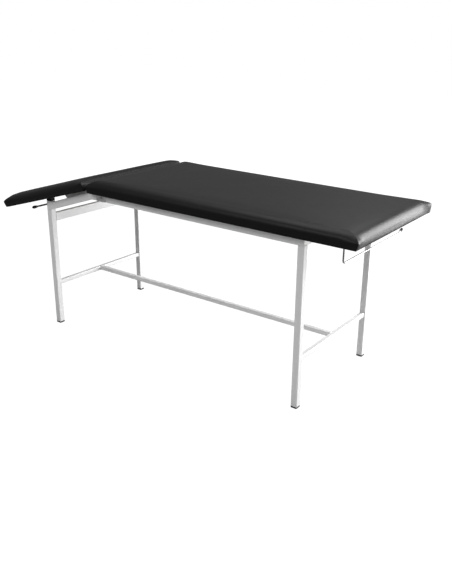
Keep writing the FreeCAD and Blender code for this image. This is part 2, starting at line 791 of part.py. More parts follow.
def hinge_pins():
    """Pins in the brackets on which the head section turns."""
    body = new_body("hinge_pin", *HEAD_ORIGIN)
    end = "(arm_lane - arm_thickness - side_gap)"
    shank = new_sketch(body, "XZ_Plane", INNER_FACE)
    disc(shank, "0", "0", "pin_radius")
    pad(body, shank, f"{INNER_FACE} - {end} + edge_break", reverse=True)
    head = new_sketch(body, "XZ_Plane", end)
    disc(head, "0", "0", "bracket_boss - edge_break")
    pad(body, head, "pin_head_height", reverse=True)
    inside = -number(f"{end} - pin_head_height")
    soften(body, "Chamfer", "edge_break", lambda edge: at_level(edge, "Y", inside))
    spacer = new_sketch(body, "XZ_Plane", f"{INNER_FACE} - bracket_thickness")
    disc(spacer, "0", "0", "pin_radius + 2 * edge_break")
    pad(body, spacer, f"{INNER_FACE} - bracket_thickness - arm_lane - side_gap", reverse=True)
    export(pair("hinge_pins", body))


def hinge_arms():
    """Angle bars below the head board, rounded at the pivot."""
    body = new_body("hinge_arm_near", *HEAD_ORIGIN, turn=HEAD_TURN)
    low = f"({BOARD_FLOOR} - arm_height)"
    points = [
        ("0", low),
        ("0", BOARD_FLOOR),
        ("-arm_length", BOARD_FLOOR),
        ("-arm_length", f"{BOARD_FLOOR} - arm_thickness"),
        ("-arm_length + arm_height / 2", low),
    ]
    plate_along_y(body, points, "arm_lane", "arm_thickness")
    boss = new_sketch(body, "XZ_Plane", "arm_lane")
    disc(boss, "0", "0", negative(low))
    pad(body, boss, "arm_thickness", reverse=True)
    flange = new_sketch(body, "XY_Plane", BOARD_FLOOR)
    outline(flange, [
        ("-2 * arm_thickness", "-arm_lane"),
        ("-2 * arm_thickness - arm_flange / 3", "-arm_lane + arm_flange"),
        ("-arm_length", "-arm_lane + arm_flange"),
        ("-arm_length", "-arm_lane"),
    ])
    pad(body, flange, "arm_thickness", reverse=True)
    bore = new_sketch(body, "XZ_Plane")
    disc(bore, "0", "0", "pin_radius + pin_clearance")
    cut(body, bore, "2 * frame_width", symmetric=True)
    holes = new_sketch(body, "XY_Plane", BOARD_FLOOR)
    for x in ARM_SCREWS:
        disc(holes, x, negative(ARM_SCREW_LINE), "screw_radius + screw_fit")
    cut(body, holes, "2 * arm_thickness", symmetric=True)
    both_sides("hinge_arm", body)


def head_screws():
    local_level = f"{BOARD_FLOOR} - arm_thickness"
    origin = head_point("0", local_level)
    places = both_rows(ARM_SCREWS, ARM_SCREW_LINE)
    screws("hinge_arm_screws", HEAD_TURN, origin, places, "arm_thickness + screw_bite")
    origin = head_point("0", f"{BOARD_FLOOR} - rack_thickness")
    places = both_rows(RACK_SCREWS, RACK_SCREW_LINE)
    screws("rack_screws", HEAD_TURN, origin, places, "rack_thickness + screw_bite")


def head_point(x, z):
    """Place in the table's frame of a point given in the head board's own frame."""
    across = f"pivot_x + ({x}) * cos(head_tilt) - ({z}) * sin(head_tilt)"
    up = f"pivot_z + ({x}) * sin(head_tilt) + ({z}) * cos(head_tilt)"
    return across, "0", up


# Stay and notched rack


def rod_place(raised):
    """Centre of the stay's rod in the head board's frame when the board is raised."""
    start_x = "(stay_pivot_x - rod_x)"
    start_z = "(rod_z - stay_pivot_z)"
    turn = f"(stay_ratio * {raised})"
    along = f"(pivot_x - stay_pivot_x + {start_x} * cos({turn}) - {start_z} * sin({turn}))"
    up = f"(stay_pivot_z - pivot_z + {start_x} * sin({turn}) + {start_z} * cos({turn}))"
    lean = f"({raised} - head_tilt)"
    return (f"-({along} * cos({lean}) + {up} * sin({lean}))",
            f"(-{along} * sin({lean}) + {up} * cos({lean}))")


def stay_rack():
    """Two folded cheeks with a notch for the rod at every stop of the head section."""
    body = new_body("rack_cheek", *HEAD_ORIGIN, turn=HEAD_TURN)
    stops = [rod_place(f"({share} * head_range)") for share in ("0", "1 / 3", "2 / 3", "1")]
    lift = "(rod_radius + rack_clearance)"
    first_x, first_z = stops[0]
    last_x, last_z = stops[-1]
    points = [(f"{first_x} - rack_tail", BOARD_FLOOR), (f"{first_x} - rack_tail", f"{first_z} + {lift}")]
    points += [(x, f"{z} + {lift}") for x, z in stops]
    points += [
        (f"{last_x} + rod_radius + notch_fit", f"{last_z} + {lift}"),
        (f"{last_x} + rod_radius + notch_fit", f"{last_z} - rod_radius"),
        (f"{last_x} + rod_radius + rack_hook", f"{last_z} - rod_radius"),
        (f"{last_x} + rod_radius + 2 * rack_hook", BOARD_FLOOR),
    ]
    plate_along_y(body, points, "rack_lane + rack_thickness", "rack_thickness")
    notches = new_sketch(body, "XZ_Plane")
    for x, z in stops[1:-1]:
        disc(notches, x, f"{z} + {lift}", "rod_radius + notch_fit")
    cut(body, notches, "2 * frame_width", symmetric=True)
    flange = new_sketch(body, "XY_Plane", BOARD_FLOOR)
    near = "-(rack_lane + rack_thickness)"
    outline(flange, [
        (f"{first_x} - rack_tail", near),
        (f"{first_x} - rack_tail + rack_thickness", f"{near} - rack_flange"),
        (f"{last_x} + rod_radius + rack_hook", f"{near} - rack_flange"),
        (f"{last_x} + rod_radius + 2 * rack_hook", near),
    ])
    pad(body, flange, "rack_thickness", reverse=True)
    holes = new_sketch(body, "XY_Plane", BOARD_FLOOR)
    for x in RACK_SCREWS:
        disc(holes, x, negative(RACK_SCREW_LINE), "screw_radius + screw_fit")
    cut(body, holes, "2 * rack_thickness", symmetric=True)
    export(pair("stay_rack", body))


def strip(body, first, second, half_height, start, thickness):
    """Straight strip with square ends between two points of a side plate."""
    run = f"({second[0]} - {first[0]})"
    rise = f"({second[1]} - {first[1]})"
    length = f"sqrt({run} ^ 2 + {rise} ^ 2)"
    across = f"(-{rise} / {length} * {half_height})"
    up = f"({run} / {length} * {half_height})"
    sketch = new_sketch(body, "XZ_Plane", start)
    outline(sketch, [
        (f"{first[0]} + {across}", f"{first[1]} + {up}"),
        (f"{second[0]} + {across}", f"{second[1]} + {up}"),
        (f"{second[0]} - {across}", f"{second[1]} - {up}"),
        (f"{first[0]} - {across}", f"{first[1]} - {up}"),
    ])
    pad(body, sketch, thickness, reverse=True)


def stay_arms():
    """Cranked flat bars that carry the rod behind the head legs."""
    body = new_body("stay_arm_near", "stay_pivot_x", "0", "stay_pivot_z")
    pivot = ("0", "0")
    knee = ("(stay_knee_x - stay_pivot_x)", "(stay_knee_z - stay_pivot_z)")
    tip = ("(rod_x - stay_pivot_x)", "(rod_z - stay_pivot_z)")
    strip(body, pivot, knee, "stay_half_height", "stay_lane", "stay_thickness")
    strip(body, knee, tip, "stay_half_height", "stay_lane", "stay_thickness")
    for x, z in (pivot, knee, tip):
        end = new_sketch(body, "XZ_Plane", "stay_lane")
        disc(end, x, z, "stay_half_height")
        pad(body, end, "stay_thickness", reverse=True)
    holes = new_sketch(body, "XZ_Plane")
    disc(holes, *pivot, "pin_radius + pin_clearance")
    disc(holes, *tip, "rod_radius + pin_clearance")
    cut(body, holes, "2 * frame_width", symmetric=True)
    both_sides("stay_arm", body)


def stay_rod():
    """Round rod across the table, chamfered at both ends."""
    body = new_body("stay_rod", "rod_x", "0", "rod_z")
    sketch = new_sketch(body, "XZ_Plane")
    disc(sketch, "0", "0", "rod_radius")
    pad(body, sketch, "2 * rod_reach", symmetric=True)
    for end in (-1, 1):
        level = end * number("rod_reach")
        soften(body, "Chamfer", "rod_radius / 4", lambda edge: at_level(edge, "Y", level))
    export(body)


def stay_knobs():
    """Oval grips on the ends of the rod, turned as one profile and bored for the rod."""
    body = new_body("stay_knob", "rod_x", "0", "rod_z")
    sketch = new_sketch(body, "XY_Plane")
    start = "(knob_reach - knob_length)"
    profile = [
        ("0", negative("knob_reach")),
        ("knob_radius * 0.62", negative("knob_reach")),
        ("knob_radius", negative("knob_reach - knob_length * 0.3")),
        ("knob_radius", negative(f"{start} + knob_length * 0.4")),
        ("knob_radius * 0.72", negative(start)),
        ("0", negative(start)),
    ]
    outline(sketch, profile)
    turned = body.newObject("PartDesign::Revolution", "Turning")
    turned.Profile = sketch
    turned.ReferenceAxis = (sketch, ["V_Axis"])
    turned.Angle = 360
    DOC.recompute()
    soften(body, "Fillet", "knob_radius * 0.3", lambda edge: isinstance(edge.Curve, Part.Circle)
           and edge.Curve.Radius > number("knob_radius * 0.5"))
    bore = new_sketch(body, "XZ_Plane", "rod_reach + pin_clearance")
    disc(bore, "0", "0", "rod_radius + pin_clearance")
    cut(body, bore, "knob_length")
    export(pair("stay_knobs", body))


def stay_studs():
    """Studs welded inside the sloped rails, with the washers and nuts that keep the arms on."""
    origin = ("stay_pivot_x", "0", "stay_pivot_z")
    body = new_body("stay_stud", *origin)
    seat = "(stay_lane + side_gap)"
    inside = "(stay_lane - stay_thickness - side_gap)"
    boss = new_sketch(body, "XZ_Plane", INNER_FACE)
    disc(boss, "0", "0", "stud_boss")
    pad(body, boss, f"{INNER_FACE} - {seat}", reverse=True)
    shank = new_sketch(body, "XZ_Plane", INNER_FACE)
    disc(shank, "0", "0", "pin_radius")
    reach = f"{INNER_FACE} - {inside} + washer_thickness + nut_height + edge_break"
    pad(body, shank, reach, reverse=True)
    export(pair("stay_studs", body))

    washer = new_body("stay_washer", *origin)
    ring = new_sketch(washer, "XZ_Plane", inside)
    disc(ring, "0", "0", "washer_radius")
    disc(ring, "0", "0", "pin_radius + screw_fit")
    pad(washer, ring, "washer_thickness", reverse=True)
    export(pair("stay_washers", washer))

    nut = new_body("stay_nut", *origin)
    six = new_sketch(nut, "XZ_Plane", f"{inside} - washer_thickness")
    hexagon(six, "0", "0", "nut_across")
    disc(six, "0", "0", "pin_radius + screw_fit")
    pad(nut, six, "nut_height", reverse=True)
    export(pair("stay_nuts", nut))


# Paper roll holder


ROLL_PLATE_LEVEL = "(rest_height - roll_plate_thickness)"
ROLL_END = ("(roll_tip_y + roll_end_length * cos(roll_end_rise))",
            "(roll_arm_z + roll_end_length * sin(roll_end_rise))")


def roll_screw_places(x, y):
    offset = "roll_plate_side / 3"
    return [(f"{x} + {side} * {offset}", f"{y} + {side} * {offset}") for side in ("1", "(-1)")]


def roll_screws():
    places = roll_screw_places("roll_x", "roll_arm_y")
    screws("roll_holder_screws", None, ("0", "0", ROLL_PLATE_LEVEL), places,
           "roll_plate_thickness + screw_bite")


def roll_rod():
    """Wire bent down from its plate, level below the foot end and raised at the free end."""
    body = new_body("roll_holder_rod", "roll_x")
    reach = "(roll_bend * tan(roll_end_rise / 2))"
    route = new_sketch(body, "YZ_Plane")
    bends = {
        1: (("roll_arm_y + roll_bend", "roll_arm_z + roll_bend"), "roll_bend"),
        3: ((f"roll_tip_y - {reach}", "roll_arm_z + roll_bend"), "roll_bend"),
    }
    outline(route, [
        ("roll_arm_y", ROLL_PLATE_LEVEL),
        ("roll_arm_y", "roll_arm_z + roll_bend"),
        ("roll_arm_y + roll_bend", "roll_arm_z"),
        (f"roll_tip_y - {reach}", "roll_arm_z"),
        (f"roll_tip_y + {reach} * cos(roll_end_rise)", f"roll_arm_z + {reach} * sin(roll_end_rise)"),
        ROLL_END,
    ], bends, closed=False)
    section = new_sketch(body, "XY_Plane", ROLL_PLATE_LEVEL)
    disc(section, "0", "roll_arm_y", "roll_radius")
    wire = body.newObject("PartDesign::AdditivePipe", "Wire")
    wire.Profile = section
    wire.Spine = (route, [])
    DOC.recompute()
    export(body)


def roll_plate():
    """Square plate below the board, to which the wire is welded."""
    body = new_body("roll_holder_plate", "roll_x", "roll_arm_y", "rest_height")
    sketch = new_sketch(body, "XY_Plane")
    rectangle(sketch, "0", "0", "roll_plate_side", "roll_plate_side")
    for x, y in roll_screw_places("0", "0"):
        disc(sketch, x, y, "screw_radius + screw_fit")
    pad(body, sketch, "roll_plate_thickness", reverse=True)
    soften(body, "Fillet", "tube_corner", lambda edge: runs_along(edge, UP))
    export(body)


def roll_cap():
    """Rounded plastic cap pushed over the free end of the wire."""
    body = new_body("roll_holder_cap", "roll_x", *ROLL_END, turn="roll_end_rise - 90", axis=ALONG)
    sketch = new_sketch(body, "XY_Plane", "roll_cap_wall")
    disc(sketch, "0", "0", "roll_radius + roll_cap_wall")
    pad(body, sketch, "roll_cap_length + roll_cap_wall", reverse=True)
    tip = number("roll_cap_wall")
    soften(body, "Fillet", "roll_cap_wall", lambda edge: at_level(edge, "Z", tip))
    bore = new_sketch(body, "XY_Plane")
    disc(bore, "0", "0", "roll_radius + pin_clearance")
    cut(body, bore, "2 * roll_cap_length")
    export(body)


def check_and_write():
    DOC.recompute()
    for item in DOC.Objects:
        if "Invalid" in item.State or "Error" in item.State:
            raise ValueError(f"{item.Label} is in state {item.State}")
    os.makedirs("parts", exist_ok=True)
    for item in EXPORTS:
        shape = item.Shape
        if shape.isNull() or not shape.isValid():
            raise ValueError(f"{item.Label} has no valid shape")
        shape.exportStep(f"parts/{item.Label}.step")
        box = shape.BoundBox
        print(f"{item.Label}: {len(shape.Solids)} solids, {shape.Volume:.0f} mm3, "
              f"X {box.XMin:.1f} {box.XMax:.1f}, Y {box.YMin:.1f} {box.YMax:.1f}, "
              f"Z {box.ZMin:.1f} {box.ZMax:.1f}")


fill_sheet()
head_legs()
foot_legs()
side_rails()
sloped_rails()
upper_crossbars()
low_bars()
floor_plugs()
head_leg_caps()
main_board_screws()
main_pad()
head_pad()
bracket_plates()
hinge_brackets()
bracket_bolts()
hinge_pins()
hinge_arms()
head_screws()
stay_rack()
stay_arms()
stay_rod()
stay_knobs()
stay_studs()
roll_rod()
roll_plate()
roll_cap()
roll_screws()
check_and_write()
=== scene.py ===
"""Looks of an examination table: cover, enamel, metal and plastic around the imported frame."""

import json
import logging
import math
from collections.abc import Callable
from dataclasses import dataclass, field
from enum import Enum
from random import Random
from typing import Any

import bmesh
import bpy
from mathutils import Matrix, Vector, noise

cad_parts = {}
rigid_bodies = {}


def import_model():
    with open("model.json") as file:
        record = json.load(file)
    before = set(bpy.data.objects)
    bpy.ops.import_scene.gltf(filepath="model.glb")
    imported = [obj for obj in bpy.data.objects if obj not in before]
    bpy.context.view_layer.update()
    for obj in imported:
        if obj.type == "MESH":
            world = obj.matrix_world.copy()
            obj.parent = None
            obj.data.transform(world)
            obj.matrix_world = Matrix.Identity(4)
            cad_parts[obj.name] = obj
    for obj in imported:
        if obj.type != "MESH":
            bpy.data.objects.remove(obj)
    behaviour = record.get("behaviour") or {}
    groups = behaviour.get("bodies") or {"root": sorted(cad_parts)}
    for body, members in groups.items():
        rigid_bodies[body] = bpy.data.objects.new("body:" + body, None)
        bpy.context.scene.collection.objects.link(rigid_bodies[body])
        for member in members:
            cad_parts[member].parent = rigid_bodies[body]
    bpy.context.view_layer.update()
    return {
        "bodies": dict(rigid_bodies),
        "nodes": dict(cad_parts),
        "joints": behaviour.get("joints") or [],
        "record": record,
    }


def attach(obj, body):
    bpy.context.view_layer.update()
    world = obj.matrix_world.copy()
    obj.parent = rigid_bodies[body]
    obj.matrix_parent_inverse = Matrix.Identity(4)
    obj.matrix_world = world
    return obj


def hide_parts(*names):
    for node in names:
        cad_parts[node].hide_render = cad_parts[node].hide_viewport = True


LOG = logging.getLogger("table")
MM = 0.001
TOUCH = 1e-5
TINY = 1e-9
WHITE = (1.0, 1.0, 1.0, 1.0)


class Axis(Enum):
    """Directions in the table's frame."""

    LENGTH = Vector((1.0, 0.0, 0.0))
    WIDTH = Vector((0.0, 1.0, 0.0))
    HEIGHT = Vector((0.0, 0.0, 1.0))


class Body(Enum):
    """Moving bodies of the table."""

    FRAME = "frame"
    HEAD = "head_section"
    STAY = "stay"


class Slot(Enum):
    """Material slots of the record."""

    ENAMEL = "white_enamel"
    COVER = "black_cover"
    PLYWOOD = "plywood"
    PLASTIC = "black_plastic"
    PLATE = "plated_plate"
    ZINC = "zinc_steel"
    GREY = "grey_enamel"
    ROD = "dark_steel"
    CHROME = "chrome_wire"


# Shader expressions


class Wire:
    """A socket that takes part in Python expressions."""

    def __init__(self, tree: bpy.types.NodeTree, socket: bpy.types.NodeSocket) -> None:
        """Keep the socket and the tree that it belongs to."""
        self.tree = tree
        self.socket = socket

    def _math(self, operation: str, *values: Any) -> "Wire":
        """Add a Math node.

        Args:
            operation: the node's operation.
            values: numbers or wires, in the order of its sockets.

        Returns:
            The node's result.
        """
        node = self.tree.nodes.new("ShaderNodeMath")
        node.operation = operation
        for place, value in enumerate(values):
            if isinstance(value, Wire):
                self.tree.links.new(value.socket, node.inputs[place])
            else:
                node.inputs[place].default_value = float(value)
        return Wire(self.tree, node.outputs[0])

    def __add__(self, other: Any) -> "Wire":
        """Sum."""
        return self._math("ADD", self, other)

    def __mul__(self, other: Any) -> "Wire":
        """Product."""
        return self._math("MULTIPLY", self, other)

    def __sub__(self, other: Any) -> "Wire":
        """Difference."""
        return self._math("SUBTRACT", self, other)

    def between(self, low: float, high: float) -> "Wire":
        """Ramp from 0 at low to 1 at high."""
        scaled = (self - low) * (1.0 / (high - low))
        return scaled._math("MAXIMUM", scaled._math("MINIMUM", scaled, 1.0), 0.0)


class Shader:
    """Node tree of one material."""

    def __init__(self, name: str) -> None:
        """Make a material with an empty tree and its output."""
        self.material = bpy.data.materials.new(name)
        self.material.use_nodes = True
        self.tree = self.material.node_tree
        self.tree.nodes.clear()
        self.output = self.tree.nodes.new("ShaderNodeOutputMaterial")

    def node(self, kind: str, settings: dict[str, Any] | None = None,
             inputs: dict[str | int, Any] | None = None) -> bpy.types.Node:
        """Add a node.

        Args:
            kind: the node's type.
            settings: properties that are set before the sockets.
            inputs: numbers, colours, vectors or wires by the socket's name or place.

        Returns:
            The new node.
        """
        node = self.tree.nodes.new(kind)
        for name, value in (settings or {}).items():
            setattr(node, name, value)
        for name, value in (inputs or {}).items():
            self.feed(node.inputs[name], value)
        return node

    def feed(self, socket: bpy.types.NodeSocket, value: Any) -> None:
        """Link a wire to a socket, or set the socket's own value."""
        if isinstance(value, Wire):
            self.tree.links.new(value.socket, socket)
        else:
            socket.default_value = value

    def wire(self, node: bpy.types.Node, output: str = "") -> Wire:
        """One of a node's outputs, the first unless it is named."""
        return Wire(self.tree, node.outputs[output] if output else node.outputs[0])

    def place(self, stretch: tuple[float, float, float] = (1.0, 1.0, 1.0)) -> Wire:
        """Object coordinates, stretched along the axes."""
        coordinates = self.wire(self.node("ShaderNodeTexCoord"), "Object")
        mapping = self.node("ShaderNodeMapping", None, {"Vector": coordinates, "Scale": stretch})
        return self.wire(mapping)

    def noise(self, scale: float, detail: float, roughness: float,
              stretch: tuple[float, float, float] = (1.0, 1.0, 1.0)) -> Wire:
        """Noise value from 0 to 1."""
        inputs = {"Vector": self.place(stretch), "Scale": scale, "Detail": detail,
                  "Roughness": roughness}
        return self.wire(self.node("ShaderNodeTexNoise", {"noise_dimensions": "3D"}, inputs))

    def cells(self, scale: float, smooth: float) -> Wire:
        """Distance inside the cells of a smoothed cell pattern."""
        inputs = {"Vector": self.place(), "Scale": scale, "Smoothness": smooth}
        pattern = self.node("ShaderNodeTexVoronoi", {"feature": "SMOOTH_F1"}, inputs)
        return self.wire(pattern, "Distance")

    def blend(self, factor: Wire, first: tuple[float, float, float],
              second: tuple[float, float, float]) -> Wire:
        """Colour between two colours."""
        colours = {0: factor, 6: (*first, 1.0), 7: (*second, 1.0)}
        mix = self.node("ShaderNodeMix", {"data_type": "RGBA"}, colours)
        return Wire(self.tree, mix.outputs[2])

    def bump(self, height: Wire, strength: float, distance: float) -> Wire:
        """Normal bent by a height."""
        inputs = {"Height": height, "Strength": strength, "Distance": distance}
        return self.wire(self.node("ShaderNodeBump", None, inputs))

    def surface(self, **inputs: Any) -> bpy.types.Material:
        """Finish the material with one principled shader, its sockets named in lower case."""
        named = {name.replace("_", " ").title().replace("Ior", "IOR"): value
                 for name, value in inputs.items()}
        shader = self.node("ShaderNodeBsdfPrincipled", None, named)
        self.tree.links.new(shader.outputs[0], self.output.inputs["Surface"])
        return self.material


# Finishes


@dataclass(frozen=True)
class CoverFinish:
    """Black grained artificial leather."""

    dark: tuple[float, float, float] = (0.0022, 0.0022, 0.0023)
    pale: tuple[float, float, float] = (0.0060, 0.0060, 0.0062)
    roughness: float = 0.40
    specular: float = 0.17
    cloud_scale: float = 9.0
    grain_scale: float = 620.0
    crease_scale: float = 210.0
    fine_scale: float = 1500.0
    relief: tuple[float, float] = (0.22, 0.6 * MM)

    def make(self) -> bpy.types.Material:
        """Build the material."""
        shader = Shader("black_cover")
        cloud = shader.noise(self.cloud_scale, 4.0, 0.6)
        grain = shader.cells(self.grain_scale, 0.5)
        crease = shader.noise(self.crease_scale, 3.0, 0.6)
        fine = shader.noise(self.fine_scale, 2.0, 0.5)
        height = grain * 0.7 + crease * 0.35 + fine * 0.12
        pores = grain.between(0.15, 0.6)
        colour = shader.blend(cloud * 0.6 + pores * 0.4, self.dark, self.pale)
        rough = cloud * 0.07 + pores * 0.06 + (self.roughness - 0.06)
        normal = shader.bump(height, *self.relief)
        return shader.surface(base_color=colour, roughness=rough, normal=normal,
                              specular_ior_level=self.specular)


@dataclass(frozen=True)
class EnamelFinish:
    """Powder coat with a faint orange peel."""

    name: str = "white_enamel"
    colour: tuple[float, float, float] = (0.86, 0.86, 0.865)
    worn: tuple[float, float, float] = (0.80, 0.80, 0.80)
    roughness: float = 0.32
    cloud_scale: float = 6.0
    peel_scale: float = 420.0
    speck_scale: float = 60.0
    relief: tuple[float, float] = (0.10, 0.8 * MM)
    coat: tuple[float, float] = (0.25, 0.18)

    def make(self) -> bpy.types.Material:
        """Build the material."""
        shader = Shader(self.name)
        cloud = shader.noise(self.cloud_scale, 3.0, 0.5)
        peel = shader.noise(self.peel_scale, 2.0, 0.45)
        speck = shader.noise(self.speck_scale, 3.0, 0.7)
        colour = shader.blend(cloud.between(0.35, 0.8) * 0.6, self.colour, self.worn)
        rough = speck * 0.10 + (self.roughness - 0.05)
        normal = shader.bump(peel, *self.relief)
        weight, coat_roughness = self.coat
        return shader.surface(base_color=colour, roughness=rough, normal=normal,
                              coat_weight=weight, coat_roughness=coat_roughness)


@dataclass(frozen=True)
class PlasticFinish:
    """Moulded black plastic with a fine spark-eroded texture."""

    dark: tuple[float, float, float] = (0.004, 0.004, 0.0043)
    pale: tuple[float, float, float] = (0.010, 0.010, 0.0105)
    roughness: float = 0.5
    specular: float = 0.12
    spark_scale: float = 900.0
    scuff_scale: float = 70.0
    relief: tuple[float, float] = (0.18, 0.4 * MM)

    def make(self) -> bpy.types.Material:
        """Build the material."""
        shader = Shader("black_plastic")
        spark = shader.noise(self.spark_scale, 3.0, 0.6)
        scuff = shader.noise(self.scuff_scale, 4.0, 0.7)
        colour = shader.blend(scuff.between(0.4, 0.75), self.dark, self.pale)
        rough = scuff * 0.15 + (self.roughness - 0.06)
        normal = shader.bump(spark, *self.relief)
        return shader.surface(base_color=colour, roughness=rough, normal=normal,
                              specular_ior_level=self.specular)


@dataclass(frozen=True)
class MetalFinish:
    """Bare or plated metal with fine scratches along one direction."""

    name: str
    colour: tuple[float, float, float]
    stain: tuple[float, float, float]
    roughness: float
    stretch: tuple[float, float, float] = (1.0, 1.0, 1.0)
    scratch: float = 0.08
    scratch_depth: float = 0.3 * MM
    cloud_scale: float = 55.0
    line_scale: float = 500.0

    def make(self) -> bpy.types.Material:
        """Build the material."""
        shader = Shader(self.name)
        cloud = shader.noise(self.cloud_scale, 4.0, 0.65)
        lines = shader.noise(self.line_scale, 3.0, 0.6, self.stretch)
        colour = shader.blend(cloud.between(0.35, 0.75), self.colour, self.stain)
        rough = cloud * 0.12 + lines * 0.08 + (self.roughness - 0.08)
        normal = shader.bump(lines, self.scratch, self.scratch_depth)
        return shader.surface(base_color=colour, roughness=rough, normal=normal, metallic=1.0)


@dataclass(frozen=True)
class PlywoodFinish:
    """Varnished plywood: long grain on the faces, plies on the edges."""

    pale: tuple[float, float, float] = (0.40, 0.375, 0.34)
    dark: tuple[float, float, float] = (0.27, 0.245, 0.215)
    roughness: float = 0.38
    figure_scale: float = 14.0
    fibre_scale: float = 260.0
    ply_scale: float = 330.0
    relief: tuple[float, float] = (0.2, 0.4 * MM)

    def make(self) -> bpy.types.Material:
        """Build the material."""
        shader = Shader("plywood")
        figure = shader.noise(self.figure_scale, 5.0, 0.6, (0.35, 2.2, 1.0))
        fibre = shader.noise(self.fibre_scale, 3.0, 0.6, (0.06, 1.0, 1.0))
        plies = shader.noise(self.ply_scale, 0.0, 0.0, (0.0, 0.0, 1.0))
        mask = figure * 0.55 + fibre * 0.25 + plies * 0.20
        colour = shader.blend(mask.between(0.35, 0.68), self.pale, self.dark)
        rough = fibre * 0.2 + self.roughness
        normal = shader.bump(fibre, *self.relief)
        return shader.surface(base_color=colour, roughness=rough, normal=normal)


class Finishes:
    """The material of every slot, made once."""

    def __init__(self) -> None:
        """Build all the materials."""
        along_table, across_table = (0.1, 1.0, 1.0), (1.0, 0.1, 1.0)
        finishes = {
            Slot.COVER: CoverFinish(),
            Slot.ENAMEL: EnamelFinish(),
            Slot.GREY: EnamelFinish("grey_enamel", (0.74, 0.74, 0.745), (0.66, 0.66, 0.66), 0.4),
            Slot.PLASTIC: PlasticFinish(),
            Slot.PLYWOOD: PlywoodFinish(),
            Slot.PLATE: MetalFinish("plated_plate", (0.72, 0.72, 0.73), (0.46, 0.46, 0.47), 0.38,
                                    along_table),
            Slot.ZINC: MetalFinish("zinc_steel", (0.62, 0.62, 0.63), (0.48, 0.48, 0.46), 0.32),
            Slot.ROD: MetalFinish("dark_steel", (0.10, 0.10, 0.10), (0.06, 0.06, 0.06), 0.38,
                                  across_table),
            Slot.CHROME: MetalFinish("chrome_wire", (0.24, 0.24, 0.245), (0.18, 0.18, 0.185),
                                     0.13, across_table, scratch=0.03),
        }
        self.by_slot = {slot: finish.make() for slot, finish in finishes.items()}

    def dress_nodes(self, frame: dict[str, Any]) -> None:
        """Give every CAD node the material of its slot."""
        for entry in frame["record"]["subparts"]:
            node = frame["nodes"][entry["node"]]
            material = self.by_slot[Slot(entry["material_slot"])]
            for place in node.material_slots:
                place.material = material
            LOG.info("node %s: %s", entry["node"], material.name)

    def dress(self, piece: bpy.types.Object, slot: Slot) -> None:
        """Give a new piece the material of a slot."""
        piece.data.materials.clear()
        piece.data.materials.append(self.by_slot[slot])


# Modelling


